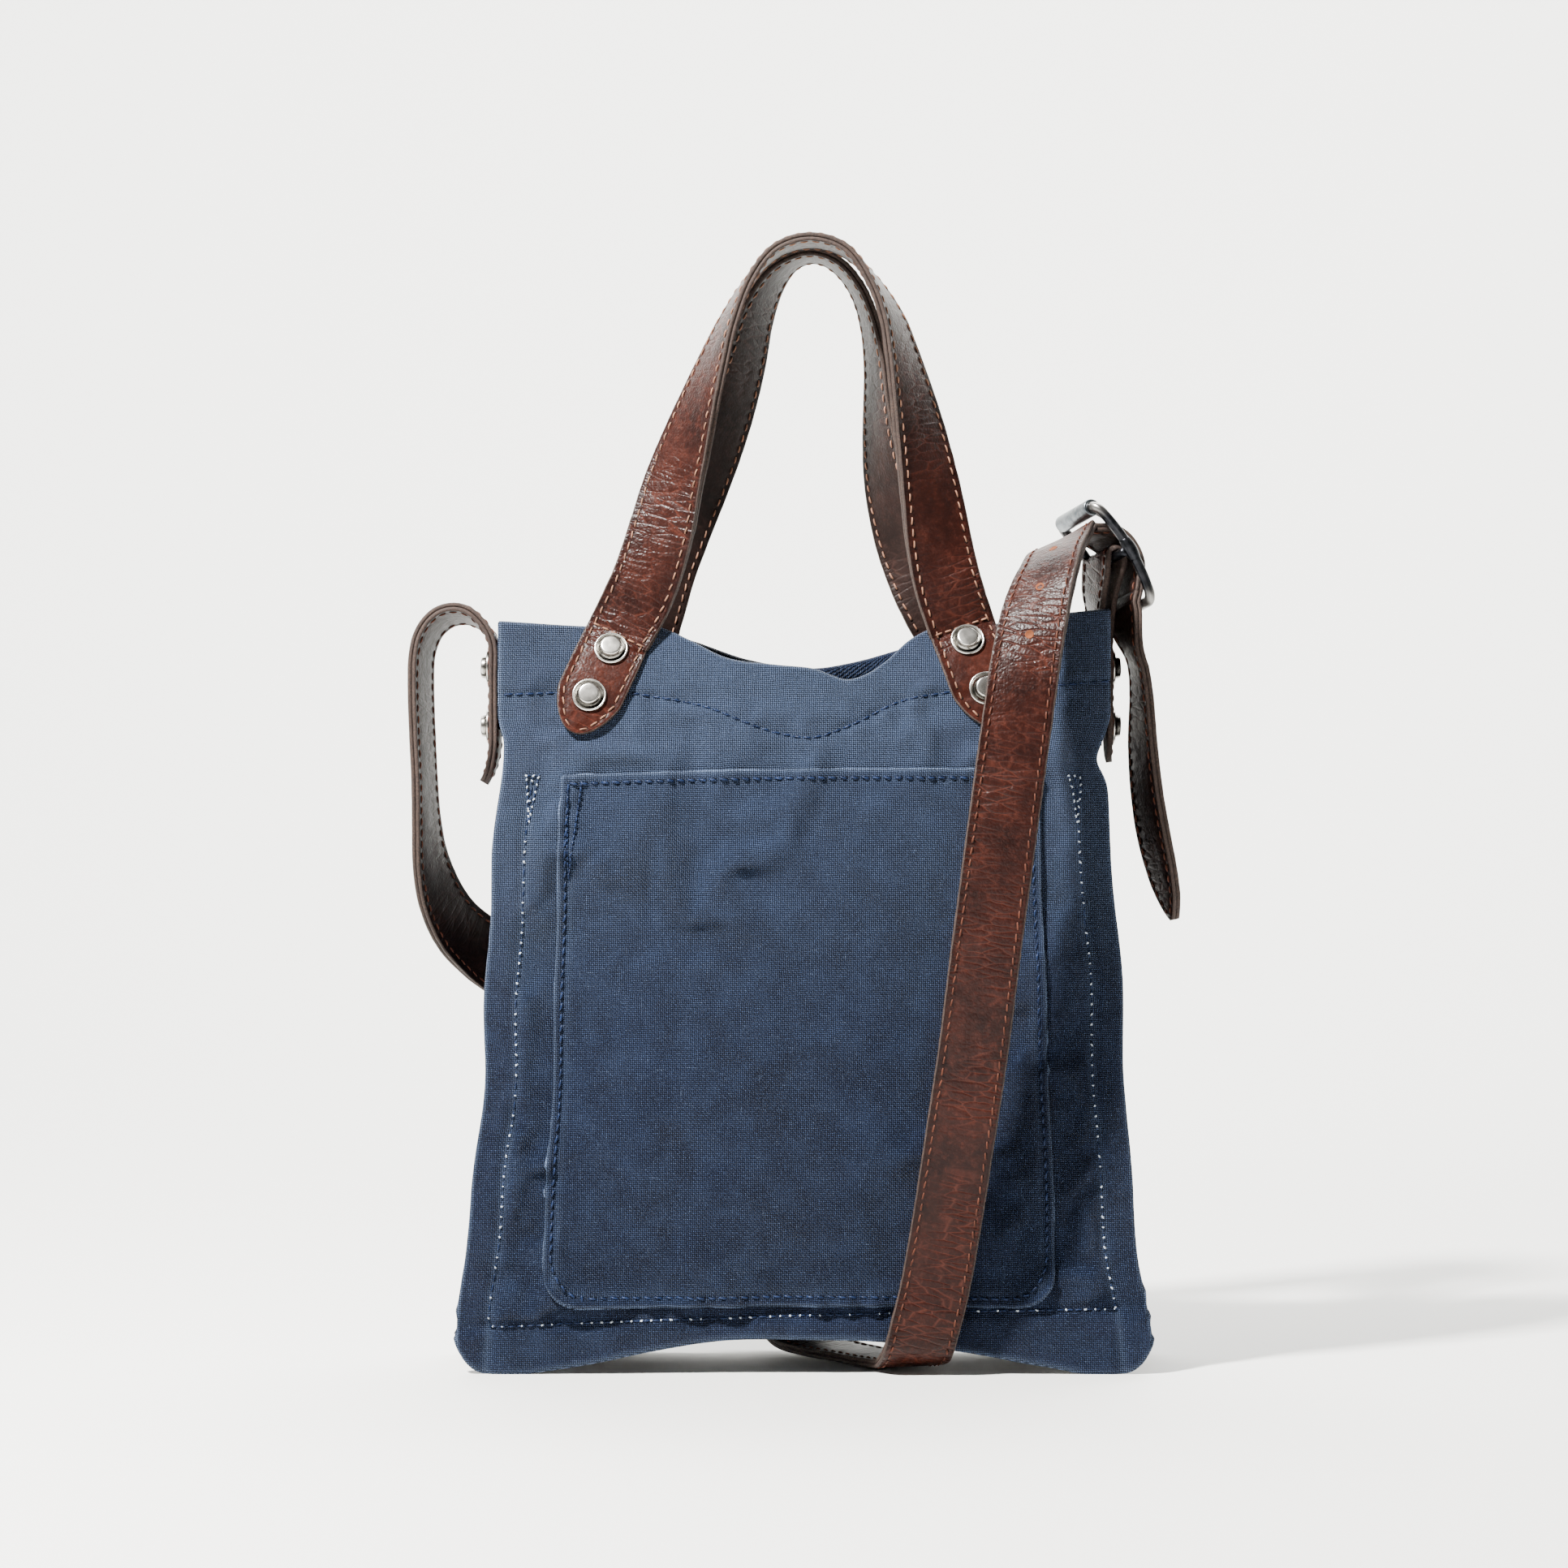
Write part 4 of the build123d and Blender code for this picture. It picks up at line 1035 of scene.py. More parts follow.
def canvas_stitching():
    """Pale seam stitches, navy hem and pocket stitches, and the bar tacks at the seams' ends."""
    pale, navy = [], []
    for side in (FRONT, BACK):
        for hand in (-1, 1):
            seam = [(hand * (half_width(z) - SEAM_ALLOWANCE),
                     z) for z in np.linspace(SEAM_TOP, float(base_seam(hand * 113)), 60)]
            track = cloth_track(side, seam)
            pale += stitch_solids(track, 3.7, 1.15, 0.40, 0, 0.6, 0.35, 0.14)
            navy += stitch_solids(track, 3.7, 3.0, 0.30)
            top_x = hand * (half_width(SEAM_TOP) - SEAM_ALLOWANCE)
            tack = [(top_x - 2.4, SEAM_TOP), (top_x, SEAM_TOP - 17), (top_x + 2.4, SEAM_TOP),
                    (top_x - 2.4, SEAM_TOP)]
            pale += stitch_solids(cloth_track(side, tack, 0.14), 2.7, 1.2, 0.34, 0, 0.6)
            navy += stitch_solids(cloth_track(side, tack, 0.1), 2.2, 1.9, 0.3)
        reach = half_width(18) - SEAM_ALLOWANCE
        base = [(x, float(base_seam(x))) for x in np.linspace(-reach, reach, 90)]
        track = cloth_track(side, base)
        pale += stitch_solids(track, 3.6, 1.0, 0.36, 0, 0.6, 0.35, 0.2)
        navy += stitch_solids(track, 3.5, 2.9, 0.30)
        hem = [(x, float(through(HEM[side], x))) for x in np.linspace(-109.5, 109.5, 100)]
        navy += stitch_solids(cloth_track(side, hem, 0.12), 3.9, 3.1, 0.36)
    side_in, low_in = 0.972, 0.0165
    left = [(-side_in, t) for t in np.linspace(0.985, 0.075, 130)]
    corner = [(-side_in + 0.13 * (1 - math.cos(a)),
               0.075 - 0.056 * math.sin(a)) for a in np.linspace(0, math.pi / 2, 16)]
    base = [(s, low_in) for s in np.linspace(-0.84, 0.84, 120)]
    right = [(-s, t) for s, t in (left + corner)[::-1]]
    top = [(s, 0.984) for s in np.linspace(-side_in, side_in, 150)]
    pits = []
    for samples in (left + corner + base + right, top):
        track = pocket_track(samples)
        navy += stitch_solids(track, 4.0, 3.0, 0.44, 0.2)
        pits += needle_holes(track, 4.0, 0.62)
    for hand in (-1, 1):
        corners = [(hand * side_in, 0.984), (hand * 0.955, 0.80), (hand * 0.915, 0.984)]
        tack = []
        for a, b in zip(corners, corners[1:]):
            tack += [(a[0] + (b[0] - a[0]) * k / 12, a[1] + (b[1] - a[1]) * k / 12) for k in range(13)]
        navy += stitch_solids(pocket_track(tack), 2.2, 1.9, 0.36)
    kinds = (("pale_seam_stitches", pale, PALE_THREAD), ("navy_stitches", navy, NAVY_THREAD),
             ("canvas_needle_holes", pits, NAVY_PIT_SHADE))
    return [joined(name, solids, [look], settle=True) for name, solids, look in kinds]


bag_pieces += canvas_stitching()

# ---- straps' routes, the same stations as the frame's -------------------------------------------
BUCKLE = Vector((110.8, -8.0, 295.5))
V = Vector((-0.35, 0.92, -0.18)).normalized()
U = (Vector((-0.524, 0, 0.852)) - V * Vector((-0.524, 0, 0.852)).dot(V)).normalized()
N = V.cross(U)
HALF_LENGTH = 20.0
ARM = 16.0


def at_buckle(u, n, v=0.0):
    """A point in the buckle's own directions."""
    return BUCKLE + U * u + N * n + V * v


def stations_from(*rows):
    """Stations from rows of a place, the face normal and, where it isn't the strap's full one, the width."""
    return [(Vector(row[:3]), Vector(row[3:6]), row[6] if len(row) > 6 else STRAP_WIDTH) for row in rows]


def buckle_station(u, n, normal_un, v=0.0, width=STRAP_WIDTH):
    return (at_buckle(u, n, v), U * normal_un[0] + N * normal_un[1], width)


STRAP = [
    *stations_from(
        (-118.3, 0, 214.5, -1, 0, 0.3, 3), (-116.9, 0, 217, -1, 0, 0.25, 11),
        (-115.4, 0, 221, -1, 0, 0.15, 19), (-114.2, 0, 228, -1, 0, 0), (-114.2, 0, 241, -1, 0, 0),
        (-114.2, 0, 254, -1, 0, 0), (-114.4, 0.2, 265, -0.99, 0, -0.1),
        (-118.3, 0.5, 272.3, -0.75, -0.05, -0.65), (-125, 0.8, 276.6, -0.3, -0.15, -0.93),
        (-132.5, 1.1, 276, 0.3, -0.2, -0.93), (-138.5, 1.5, 270.5, 0.75, -0.2, -0.6),
        (-141.4, 1.9, 261.5, 0.97, -0.2, -0.15), (-141.8, 2.4, 248, 0.98, -0.2, 0),
        (-141.3, 3, 232, 0.98, -0.2, 0), (-140.6, 4, 215, 0.98, -0.2, 0), (-140, 5.5, 199, 0.97, -0.25, 0),
        (-138.6, 8, 184, 0.93, -0.38, 0.05), (-135.2, 13, 171, 0.8, -0.58, 0.2),
        (-129.5, 21, 160, 0.6, -0.76, 0.25), (-120.5, 31, 151, 0.4, -0.9, 0.15),
        (-108, 36.8, 142, 0.1, -0.99, 0.05), (-91, 38.8, 128.5, 0, -1, 0), (-70, 40, 109, 0, -1, 0),
        (-49, 40.5, 86, 0, -1, 0), (-31, 41, 62, 0, -1, 0), (-18.5, 41, 40, 0, -1, 0.1),
        (-10, 39, 21, 0, -0.85, 0.45), (-2.5, 31.5, 8, 0.05, -0.5, 0.86), (8, 19, 3.4, 0, -0.1, 1),
        (20, 4.5, 2.6, 0, 0, 1), (31, -10, 2.6, 0, 0, 1), (37.8, -22.5, 3.6, -0.05, 0.2, 0.97),
        (41, -33, 8.5, -0.03, 0.72, 0.69), (43.6, -38, 18.5, 0, 0.97, 0.2), (47.3, -40, 34, 0, 1, -0.1),
        (51.3, -44.5, 58, 0, 1, -0.15), (55.5, -50, 87, 0, 1, -0.1), (60, -54.5, 118, 0, 1, -0.08),
        (63.6, -58, 148, 0, 1, -0.05), (67.5, -60, 178, 0, 1, 0), (71.5, -60.5, 208, 0.02, 1, 0.02),
        (75.6, -59, 237, 0.06, 1, 0.05), (79.4, -54.5, 261, 0.2, 0.97, -0.1),
        (83.6, -47.5, 279, 0.4, 0.85, -0.35), (88.6, -38, 293, 0.5, 0.6, -0.62),
        (92.9, -24.5, 300.6, 0.45, 0.3, -0.84),
    ),
    buckle_station(13.8, -8.5, (-0.95, 0.1), -2.2), buckle_station(12.4, -2.2, (-1, -0.2), -0.4),
    buckle_station(10, 3.4, (-0.75, -0.65)), buckle_station(5, 6.7, (-0.3, -0.95)),
    buckle_station(-0.5, 7.6, (0.05, -1)), buckle_station(-6.3, 6.4, (0.4, -0.9)),
    buckle_station(-11.3, 2.8, (0.75, -0.65)), buckle_station(-15.2, -0.7, (0.7, -0.7)),
    buckle_station(-18.1, -3.8, (0.6, -0.8)), buckle_station(-21, -5.0, (0.5, -0.86)),
]
TAIL = [
    *stations_from(
        (120.6, -10.3, 264, -0.98, -0.12, 0), (122.9, -9.9, 256.5, -0.98, -0.12, 0),
        (124.1, -9, 246, -0.98, -0.16, 0), (124.6, -8, 229, -0.98, -0.25, 0),
        (126.2, -7.2, 211, -0.97, -0.3, -0.1), (128.8, -6.5, 195, -0.95, -0.33, -0.2, 24.6),
        (132.1, -6, 181, -0.93, -0.33, -0.25, 21.5), (134.4, -6.6, 172.5, -0.93, -0.33, -0.25, 15.5),
        (135.7, -7.3, 167.2, -0.93, -0.33, -0.25, 8.5), (136.4, -7.8, 164.2, -0.93, -0.33, -0.25, 2.5),
    ),
]
BUCKLE_TAB_ROUTE = [
    *stations_from(
        (112.9, 0, 222, 1, 0, 0.1, 3), (112.6, 0, 224.5, 1, 0, 0.05, 12), (112.5, 0, 229, 1, 0, 0, 20),
        (112.5, 0, 235, 1, 0, 0, 25), (112.5, 0, 248, 1, 0, 0), (112.5, 0, 260, 1, 0, 0),
        (112.4, -0.6, 269, 1, 0, 0, 23), (110.9, -3, 278, 0.96, 0.25, 0, BAR_WIDTH),
        (111.4, -5.6, 287, 0.94, 0.32, 0.05, BAR_WIDTH),
    ),
    buckle_station(-1.6, 2.95, (-0.49, 0.87), 0, BAR_WIDTH),
    buckle_station(0.95, 3.25, (0.28, 0.96), 0, BAR_WIDTH),
    buckle_station(2.95, 1.65, (0.87, 0.49), 0, BAR_WIDTH),
    buckle_station(3.3, -0.7, (0.97, -0.22), 0, BAR_WIDTH),
    buckle_station(1.6, -2.95, (0.49, -0.87), 0, BAR_WIDTH),
    *stations_from(
        (106.8, -5.4, 285, -0.94, -0.32, 0, BAR_WIDTH), (107.1, -2.8, 276.5, -0.98, -0.15, 0, 23),
        (108.1, -0.4, 266, -1, 0, 0), (108.2, 0, 254, -1, 0, 0), (108.2, 0, 241, -1, 0, 0),
        (108.2, 0, 228, -1, 0, 0),
    ),
]
# (x, z, twist in degrees): flat on the wall at the feet, on edge over the top.
HANDLE_ROUTES = {
    FRONT: [
        (-61, 282, 3), (-56.4, 293.5, 9), (-52, 308, 18), (-48.1, 323.3, 31), (-43.5, 338.5, 43),
        (-38.9, 353, 55), (-33.6, 368.5, 66), (-28, 383.5, 76), (-20, 399, 85), (-10.2, 409.5, 90),
        (3, 413.2, 90), (16, 409, 88), (25.9, 397.5, 80), (32.3, 385, 71), (36, 372, 63),
        (39, 359, 54), (41.8, 346, 45), (44.5, 332, 36), (47, 317.6, 26), (49.5, 302, 15),
        (52.8, 287, 6),
    ],
    BACK: [
        (-56, 282, 7), (-52.2, 294.5, 17), (-46.2, 309, 28), (-39, 325, 37), (-32.3, 341, 44),
        (-26.6, 357, 50), (-22, 373, 56), (-18.2, 388, 63), (-11.8, 401.5, 74), (-3.5, 409.3, 86),
        (5, 411, 90), (13.5, 406.8, 88), (20.5, 397.5, 85), (24.8, 385, 81), (27, 371, 76),
        (27.8, 357, 71), (28.8, 343, 64), (31, 328, 54), (35.3, 312, 41), (41, 297, 26),
        (47.5, 283, 10),
    ],
}


def dense(stations, spacing=1.4):
    """Smooth stations between the given ones, about `spacing` apart."""
    ends = [stations[0], *stations, stations[-1]]
    out, marks = [], []
    for i in range(len(stations) - 1):
        four = ends[i:i + 4]
        marks.append(len(out))
        steps = max(2, round((four[2][0] - four[1][0]).length / spacing))
        for k in range(steps):
            out.append(tuple(catmull(*[s[j] for s in four], k / steps) for j in range(3)))
    marks.append(len(out))
    return [*out, stations[-1]], marks


def framed(stations):
    """(centre, width direction, face normal, width, distance along) at each station."""
    points = [s[0] for s in stations]
    last = len(points) - 1
    out, travelled = [], 0.0
    for i, (point, normal, width) in enumerate(stations):
        along = (points[min(i + 1, last)] - points[max(i - 1, 0)]).normalized()
        normal = (normal - along * normal.dot(along)).normalized()
        travelled += (point - points[i - 1]).length if i else 0.0
        out.append((point, along.cross(normal), normal, max(width, 1.2), travelled))
    return out


def ply(name, frames, side, inner, thickness, looks, edge_seed=0.0, smooth_ends=0):
    """A leather ply on one side (+1 or -1 along the face normal) of a strap's path: crowned, grooved under
    its stitches, with soft cut edges. The first and last `smooth_ends` stations take the third look."""
    points, uvs, slots = [], [], []
    across = [-1, -0.93, -0.86, -0.78, -0.6, -0.3, 0, 0.3, 0.6, 0.78, 0.86, 0.93, 1]
    for centre, wide, normal, width, far in frames:
        half = width / 2 + 0.14 * noise.noise(Vector((far / 3.5, edge_seed, 0.3)))
        turn = min(0.5, half * 0.5)
        section = []
        for share in across:
            a = share * (half - turn)
            margin = abs(abs(a) - (half - STITCH_MARGIN))
            dip = 0.30 * math.exp(-((margin / 0.75) ** 2)) if half > 5 else 0.0
            crown = 0.22 * (1 - share * share) + 0.10 * noise.noise(Vector((a / 6, far / 5, edge_seed)))
            section.append((a, inner + thickness - 0.12 - dip + crown))
        section += [(half - turn * 0.3, inner + thickness * 0.86), (half, inner + thickness * 0.5),
                    (half - turn * 0.2, inner + thickness * 0.1)]
        section += [(share * (half - turn), inner) for share in (1, 0.5, 0, -0.5, -1)]
        section += [(-half + turn * 0.2, inner + thickness * 0.1), (-half, inner + thickness * 0.5),
                    (-half + turn * 0.3, inner + thickness * 0.86)]
        for a, b in section:
            points.append(tuple(centre + wide * a + normal * (side * b)))
            uvs.append((a, far))
    ring = len(section)
    faces = grid_faces(len(frames), ring, closed=True)
    top = len(across) - 1
    for index in range(len(faces)):
        station_index = index // ring
        plain = station_index < smooth_ends or station_index >= len(frames) - 1 - smooth_ends
        slots.append((2 if plain else 0) if index % ring < top else 1)
    faces += [tuple(range(ring)), tuple(range(len(points) - ring, len(points)))]
    slots += [1, 1]
    return mesh_object(name, points, faces, looks, uvs, slots)


def strap_track(frames, side, height, hand):
    """A stitching track near one edge of a strap's face."""
    track = []
    for centre, wide, normal, width, _ in frames:
        if width > 2 * STITCH_MARGIN + 2.4:
            at_edge = centre + wide * hand * (width / 2 - STITCH_MARGIN)
            track.append((at_edge + normal * (side * height), normal * side))
    return track


def edge_stitching(runs, height, pitch, radius):
    """Threads and needle holes along both edges of a strap's faces, given as (frames, side)."""
    threads, pits = [], []
    for hand in (-1, 1):
        for frames, side in runs:
            track = strap_track(frames, side, height, hand)
            threads += stitch_solids(track, pitch, 2.9, radius, 0.12 * hand)
            pits += needle_holes(track, pitch, 0.6)
    return threads, pits


# shoulder strap: one run of leather, parted below the buckle at its loose end
strap_stations, marks = dense(STRAP + TAIL)
whole = framed(strap_stations)
part_at = marks[len(STRAP) - 3]
runs = {"shoulder_strap": whole[:part_at + 1], "strap_tail": whole[part_at:]}
INNER = PLY_GAP / 2
strap_pieces = {}
for node, frames in runs.items():
    made = [
        ply(f"{node}_grain", frames, -1, INNER, LEATHER, [GRAIN, RAW_EDGE], 1.1),
        ply(f"{node}_back", frames, 1, INNER, LEATHER, [UNDERSIDE, RAW_EDGE], 4.2),
    ]
    threads, pits = edge_stitching([(frames, -1), (frames, 1)], INNER + LEATHER - 0.18, 4.2, 0.34)
    made.append(joined(f"{node}_stitches", threads, [RUST_THREAD]))
    made.append(joined(f"{node}_needle_holes", pits, [PIT_SHADE]))
    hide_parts(node)
    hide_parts(f"{node}_lining")
    strap_pieces[node] = made
bag_pieces += strap_pieces["shoulder_strap"]
for piece in strap_pieces["strap_tail"]:
    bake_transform(piece)

HOLE_PROFILE = [(0, 0.10), (1.1, 0.10), (1.35, 0.22), (1.6, 0.16), (1.75, -0.1), (0, -0.1)]


def punched_holes(name, frames, distances, side):
    """Punched adjustment holes, as dark dimples with a pressed lip."""
    solids = []
    for far in distances:
        centre, _, normal, _, _ = min(frames, key=lambda f: abs(f[4] - far))
        face = centre + normal * (side * (INNER + LEATHER + 0.02))
        solids.append(turned(HOLE_PROFILE, 20, face, normal * side))
    return joined(name, solids, [HOLE_LOOK])


strap_end_far = runs["shoulder_strap"][-1][4]
bag_pieces.append(punched_holes("strap_holes", runs["shoulder_strap"],
                                [strap_end_far - d for d in (62, 82, 102)], -1))
tail_far = runs["strap_tail"][0][4]
tail_holes = punched_holes("tail_holes", runs["strap_tail"], [tail_far + d for d in (22, 42, 62, 82)], -1)
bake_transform(tail_holes)

# buckle tab, a single thick ply folded round the centre bar
tab_stations, _ = dense(BUCKLE_TAB_ROUTE, 1.2)
tab_frames = framed(tab_stations)
tab_piece = ply("buckle_tab_leather", tab_frames, 1, -1.1, 2.2, [GRAIN, RAW_EDGE], 6.4)
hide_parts("buckle_tab")
tab_threads = []
for hand in (-1, 1):
    tab_threads += stitch_solids(strap_track(tab_frames, 1, 0.9, hand), 4.2, 3.2, 0.36)
bag_pieces += [tab_piece, joined("buckle_tab_stitches", tab_threads, [RUST_THREAD])]


# ---- carrying handles ---------------------------------------------------------------------------
def tab_half(distance_from_tip):
    """Half the width of a pointed tab at a distance from its tip."""
    share = max(0.0, 1 - distance_from_tip / 15.5)
    return STRAP_WIDTH / 2 * math.sqrt(max(0.0, 1 - share**1.35))


def tab_stations_for(side, pair):
    """Stations from a tab's tip up its axis, lying on the cloth."""
    (x1, z1), (x0, z0) = pair
    tilt = math.atan2(x1 - x0, z1 - z0)
    out = []
    for distance in [-14.4, -13.8, -12.6, -11, -9, -6.5, -3.5, 0, 4, 8, 12, 16, 20, 24]:
        x, z = x0 + math.sin(tilt) * distance, z0 + math.cos(tilt) * distance
        depth = float(wall_depth(x, z))
        slope = float(wall_depth(x, z + 1) - wall_depth(x, z - 1)) / 2
        normal = Vector((0, side, -slope)).normalized()
        cloth = max(0.0, float(cloth_depth(side, x, z)) - depth)
        out.append((Vector((x, side * (depth + 0.45 + cloth), z)), normal, 2 * tab_half(distance + 14.5)))
    return out


def handle_stations(side):
    """Stations of a handle's left tab, loop and right tab."""
    points = HANDLE_ROUTES[side]
    left, right = (tab_stations_for(side, pair) for pair in RIVETS[side])
    loop = []
    for i, (x, z, twist) in enumerate(points):
        x0, z0, _ = points[max(i - 1, 0)]
        x1, z1, _ = points[min(i + 1, len(points) - 1)]
        run = math.hypot(x1 - x0, z1 - z0)
        away = Vector((-(z1 - z0) / run, 0, (x1 - x0) / run))
        turn = math.radians(twist)
        loop.append((Vector((x, side * HANDLE_Y, z)),
                     Vector((0, side * math.cos(turn), 0)) + away * math.sin(turn), STRAP_WIDTH))
    return left, loop, right[::-1]


handle_frames = {}
for side in (FRONT, BACK):
    name = SIDE_NAMES[side]
    left, loop, right = handle_stations(side)
    stations, marks = dense([*left, *loop, *right], 1.3)
    frames = framed(stations)
    upper = frames[marks[len(left) - 1]:marks[len(left) + len(loop)] + 1]
    tab_rows = marks[len(left) - 3]
    grain = ply(f"{name}_handle_grain", frames, 1, INNER, LEATHER, [GRAIN, RAW_EDGE, TAB_GRAIN], 2.3 + side,
                tab_rows)
    back = ply(f"{name}_handle_back", upper, -1, INNER, LEATHER, [UNDERSIDE, RAW_EDGE], 5.3 + side)
    threads, pits = edge_stitching([(frames, 1), (upper, -1)], INNER + LEATHER - 0.16, 4.3, 0.33)
    for pair in RIVETS[side]:
        cross = Vector((pair[0][0], side * 14, pair[0][1] + 6.3))
        centre, wide, normal, width, _ = min(frames, key=lambda f: (f[0] - cross).length)
        face = centre + normal * (INNER + LEATHER - 0.02)
        line = [(face + wide * a, normal) for a in np.linspace(-10.6, 10.6, 9)]
        threads += stitch_solids(line, 3.6, 2.8, 0.36)
    thread = joined(f"{name}_handle_stitches", threads, [TAN_THREAD])
    pit = joined(f"{name}_handle_needle_holes", pits, [PIT_SHADE])
    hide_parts(f"{name}_handle_strap", f"{name}_handle_tabs")
    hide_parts(f"{name}_handle_lining")
    for piece in (grain, back, thread, pit):
        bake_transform(piece)
    handle_frames[side] = frames


# ---- rivets -------------------------------------------------------------------------------------
RIVET_SEGMENTS = 56
# (radius, height, how bright it is worn)
CAP_PROFILE = [
    (0, 3.30, 0.7), (1.6, 3.30, 0.75), (3.1, 3.28, 0.8), (3.55, 3.22, 0.9), (3.75, 3.08, 1.0),
    (3.86, 2.8, 0.6), (4.02, 2.0, 0.0), (4.25, 1.3, 0.0), (4.5, 1.1, 0.1), (4.6, 0.85, 0.3),
    (4.5, 0.55, 0), (3.2, 0.45, 0), (1.6, 0.4, 0), (1.6, -5.6, 0), (0, -5.6, 0)]
RING_PROFILE = [
    (1.9, 0.35, 0), (4.0, 0.38, 0), (4.7, 0.42, 0.1), (5.1, 0.62, 0.3), (5.45, 1.02, 0.8),
    (5.75, 1.26, 1.0), (6.05, 1.2, 1.0), (6.26, 0.9, 0.7), (6.3, 0.45, 0.2), (6.05, 0.05, 0),
    (3.5, 0.0, 0), (1.9, 0.0, 0)]


def rivets(name, places):
    """Caps and rings at (point, normal) places."""
    made = []
    for kind, profile in (("cap", CAP_PROFILE), ("ring", RING_PROFILE)):
        solids, wear = [], []
        for k, (point, normal) in enumerate(places):
            tip = Vector((0.03 * math.sin(5 * k), 0.02, 0.03 * math.cos(3 * k))) * (kind == "cap")
            outline = [(radius, height) for radius, height, _ in profile]
            solids.append(turned(outline, RIVET_SEGMENTS, point, Vector(normal) + tip))
            wear += [bright for _, _, bright in profile for _ in range(RIVET_SEGMENTS)]
        piece = joined(f"{name}_{kind}_metal", solids, [METAL], wear)
        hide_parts(f"{name}_rivet_{kind}s")
        made.append(piece)
    return made


for side in (FRONT, BACK):
    places = []
    for pair in RIVETS[side]:
        for x, z in pair:
            target = Vector((x, 0, z))
            centre, _, normal, _, _ = min(handle_frames[side],
                                          key=lambda f: (Vector((f[0].x, 0, f[0].z)) - target).length)
            places.append((centre + normal * (INNER + LEATHER - 0.05), normal))
    bag_pieces += rivets(SIDE_NAMES[side], places)
side_places = [(Vector((-116.0, 0, z)), Vector((-1, 0, 0))) for z in SIDE_RIVETS_Z]
side_places += [(Vector((113.75, 0, z)), Vector((1, 0, 0))) for z in SIDE_RIVETS_Z]
bag_pieces += rivets("side", side_places)


# ---- buckle -------------------------------------------------------------------------------------
def bar(path, radii, up, segments=20, wide=1.0, deep=1.0, looped=False):
    """Points and faces of a bar along a path, with a radius at each point. `wide` and `deep` flatten its
    section, `deep` being the way of `up`, and `looped` joins its ends."""
    last = len(path) - 1
    points = []
    for i, centre in enumerate(path):
        before = path[i - 1 if looped else max(i - 1, 0)]
        after = path[(i + 1) % len(path) if looped else min(i + 1, last)]
        along = (after - before).normalized()
        side = along.cross(up).normalized()
        lift = side.cross(along).normalized()
        points += ring_points(centre, side, lift, wide * radii[i], deep * radii[i], segments)
    ends = [] if looped else end_caps(segments, len(points))
    return points, grid_faces(len(path), segments, True, looped) + ends


def buckle():
    """Rounded frame with bowed arms and a centre bar, a loose roller, and a prong on the centre bar."""
    loop = []
    corner = 3.4
    for corner_u, corner_v, start in ((1, 1, 0), (-1, 1, 90), (-1, -1, 180), (1, -1, 270)):
        for turn in np.linspace(0, 90, 9):
            angle = math.radians(start + turn)
            u = corner_u * (HALF_LENGTH - corner) + corner * math.cos(angle)
            v = corner_v * (ARM - corner) + corner * math.sin(angle)
            loop.append((u, v))
    full = []
    for (u0, v0), (u1, v1) in zip(loop, loop[1:] + loop[:1]):
        steps = max(1, int(math.hypot(u1 - u0, v1 - v0) / 1.5))
        full += [(u0 + (u1 - u0) * k / steps, v0 + (v1 - v0) * k / steps) for k in range(steps)]
    path = [at_buckle(u, 3.0 * (1 - (u / HALF_LENGTH) ** 2), v) for u, v in full]
    frame_bar = bar(path, [2.05] * len(path), N, deep=0.86, looped=True)
    centre_path = [at_buckle(0, 1.2 * abs(v / ARM) ** 6, v) for v in np.linspace(-ARM, ARM, 25)]
    centre_bar = bar(centre_path, [1.75] * 25, U, 18)
    lugs = []
    for hand in (-1, 1):
        reach = np.linspace(-4.5, 4.5, 13)
        lug = [at_buckle(u, 0.4 + 2.6 * (1 - (u / HALF_LENGTH) ** 2), hand * ARM) for u in reach]
        lugs.append(bar(lug, [1.9 + 0.75 * math.cos(math.pi / 2 * u / 4.6) for u in reach], V, wide=0.95))
    solids = [frame_bar, centre_bar, *lugs]
    # the frame's ends are worn bright
    lightened = []
    for points, _ in solids:
        far = [abs((Vector(point) - BUCKLE).dot(U)) for point in points]
        lightened += [smooth_step((distance - 14) / 7) * 0.85 for distance in far]
    frame_piece = joined("buckle_frame_metal", solids, [GUNMETAL], lightened)
    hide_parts("buckle_frame")
    profile = [(2.08, -13.0), (2.9, -13.0), (3.12, -12.8), (3.2, -12.4), (3.2, 12.4), (3.12, 12.8),
               (2.9, 13.0), (2.08, 13.0)]
    roller = turned(profile, 40, at_buckle(HALF_LENGTH, 0), V)
    roller_piece = joined("buckle_roller_metal", [roller], [STEEL])
    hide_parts("buckle_roller")
    profile = [(1.9, -1.3), (2.75, -1.3), (3.0, -1.05), (3.0, 1.05), (2.75, 1.3), (1.9, 1.3)]
    hub = turned(profile, 32, at_buckle(0, 0), V)
    bends = [(1.4, 2.4), (2.2, 5.0), (2.9, 8.0), (3.9, 10.4), (6.2, 11.5), (9.5, 11.4), (13, 10.1),
             (16.5, 8.1), (19.5, 6.1), (21.8, 4.8), (22.9, 4.4)]
    stations, _ = dense([(at_buckle(u, n), N, 1.0) for u, n in bends], 0.8)
    shank_path = [s[0] for s in stations]
    last = len(shank_path) - 1
    radii = [1.12 - 0.25 * i / last for i in range(last)] + [0.45]
    prong_piece = joined("buckle_prong_metal", [hub, bar(shank_path, radii, V, 16)], [GUNMETAL])
    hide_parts("buckle_prong")
    return frame_piece, roller_piece, prong_piece


frame_piece, roller_piece, prong_piece = buckle()
bag_pieces.append(frame_piece)
for piece in bag_pieces:
    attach(piece, "bag")
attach(roller_piece, "roller")
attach(prong_piece, "prong")

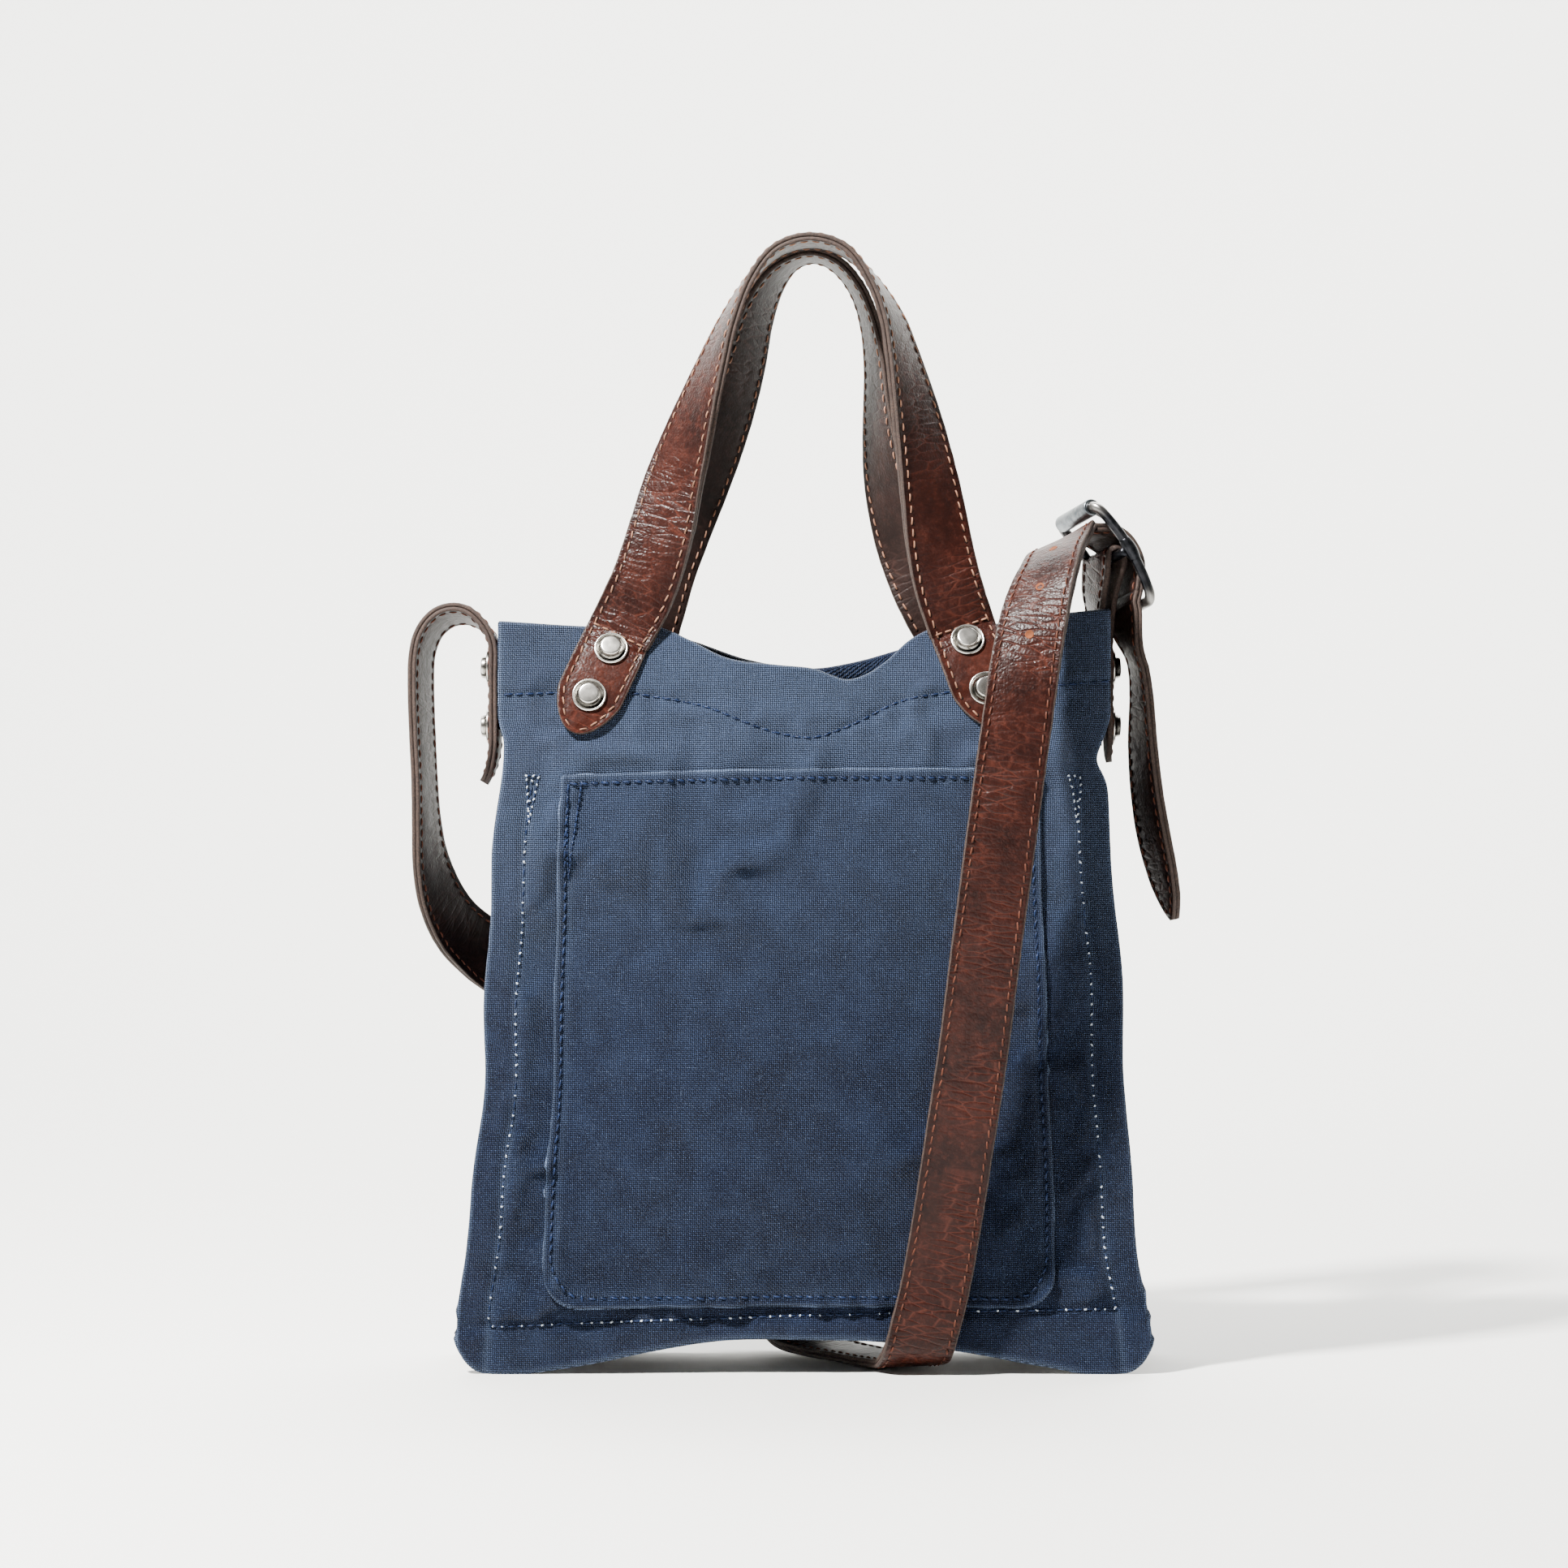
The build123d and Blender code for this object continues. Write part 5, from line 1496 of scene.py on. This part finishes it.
# CAD pieces that show as they are take these finishes
for node, look in (("front_rivet_washers", METAL), ("back_rivet_washers", METAL),
                   ("side_rivet_washers", METAL), ("left_rivet_patch", UNDERSIDE)):
    frame["nodes"][node].data.materials.clear()
    frame["nodes"][node].data.materials.append(look)

SLOTS = {
    "canvas": "navy_canvas", "seam": "navy_canvas", "patch_pocket": "navy_canvas", "hem_ply": "navy_canvas",
    "lining_bag": "lining_fabric", "slip_pocket": "lining_fabric", "metal": "antique_metal",
    "grain": "brown_leather", "leather": "brown_leather", "_back": "leather_lining",
}
for piece in bpy.data.objects:
    for key, name in SLOTS.items():
        if key in piece.name and piece.type == "MESH" and "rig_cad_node" not in piece:
            break

# ---- surroundings, in metres --------------------------------------------------------------------
FLOOR_RADIUS, WALL_CURVE, WALL_TOP = 1.6, 1.2, 5.0
CAMERA_PLACE = (-7.35, -1492, 214)  # in millimetres about the body's middle
VIEW_ANGLE = math.radians(22)


def backdrop():
    """A pale round floor that curves up into a wall far from the bag. The wall darkens towards the front, so
    that it doesn't whiten the canvas and the leather."""
    n = Nodes("pale_floor")
    _, y, z = n.parts(n.place(0.001))
    towards_front = n.ramp(n.times(y, -0.45), (0.0, 0.0), (0.85, 1.0))
    front = n.times(towards_front, n.ramp(z, (0.02, 0.0), (0.35, 1.0)))
    look = n.finish(n.mix(front, (0.62, 0.617, 0.60), (0.10, 0.10, 0.10)), 0.8)
    profile = [(0.8, 0.0), (1.4, 0.0), (FLOOR_RADIUS, 0.0)]
    for turn in np.linspace(0, math.pi / 2, 14)[1:]:
        profile.append((FLOOR_RADIUS + WALL_CURVE * math.sin(turn), WALL_CURVE - WALL_CURVE * math.cos(turn)))
    profile.append((FLOOR_RADIUS + WALL_CURVE, WALL_TOP))
    sides = 120
    turns = np.linspace(0, 2 * math.pi, sides, endpoint=False)
    points = [(radius * math.cos(a), radius * math.sin(a), z) for radius, z in profile for a in turns]
    faces = [tuple(range(sides)), *(face[::-1] for face in grid_faces(len(profile), sides, True))]
    mesh = bpy.data.meshes.new("floor")
    mesh.from_pydata(points, [], faces)
    mesh.materials.append(look)
    mesh.polygons.foreach_set("use_smooth", [True] * len(mesh.polygons))
    floor = add_object("floor", mesh)


def area_light(name, place, size, power, colour=(1, 1, 1), target=(0, 0, 0.2)):
    data = bpy.data.lights.new(name, "AREA")
    data.size = size
    data.energy = power
    data.color = colour
    lamp = add_object(name, data)
    lamp.location = place
    lamp.rotation_euler = (Vector(target) - Vector(place)).to_track_quat("-Z", "Y").to_euler()


def surroundings():
    backdrop()
    area_light("key", (-0.60, -0.58, 1.22), size=0.11, power=138, colour=(1.0, 0.985, 0.955),
               target=(0, 0, 0.15))
    area_light("top", (0.5, 0.9, 2.4), size=1.2, power=36)
    area_light("backdrop_wash", (0.0, 1.45, 2.4), size=2.2, power=340, colour=(1, 1, 0.985),
               target=(0, 2.8, 0.9))
    sky = bpy.data.worlds.new("studio")
    bpy.context.scene.world = sky
    sky.use_nodes = True
    glow = sky.node_tree.nodes["Background"]
    glow.inputs["Color"].default_value = (1.0, 0.995, 0.98, 1)
    glow.inputs["Strength"].default_value = 0.12
    lens = bpy.data.cameras.new("camera")
    lens.angle = VIEW_ANGLE
    camera = add_object("camera", lens)
    camera.location = world(CAMERA_PLACE)
    camera.rotation_euler = (math.pi / 2, 0, 0)
    bpy.context.scene.camera = camera


surroundings()
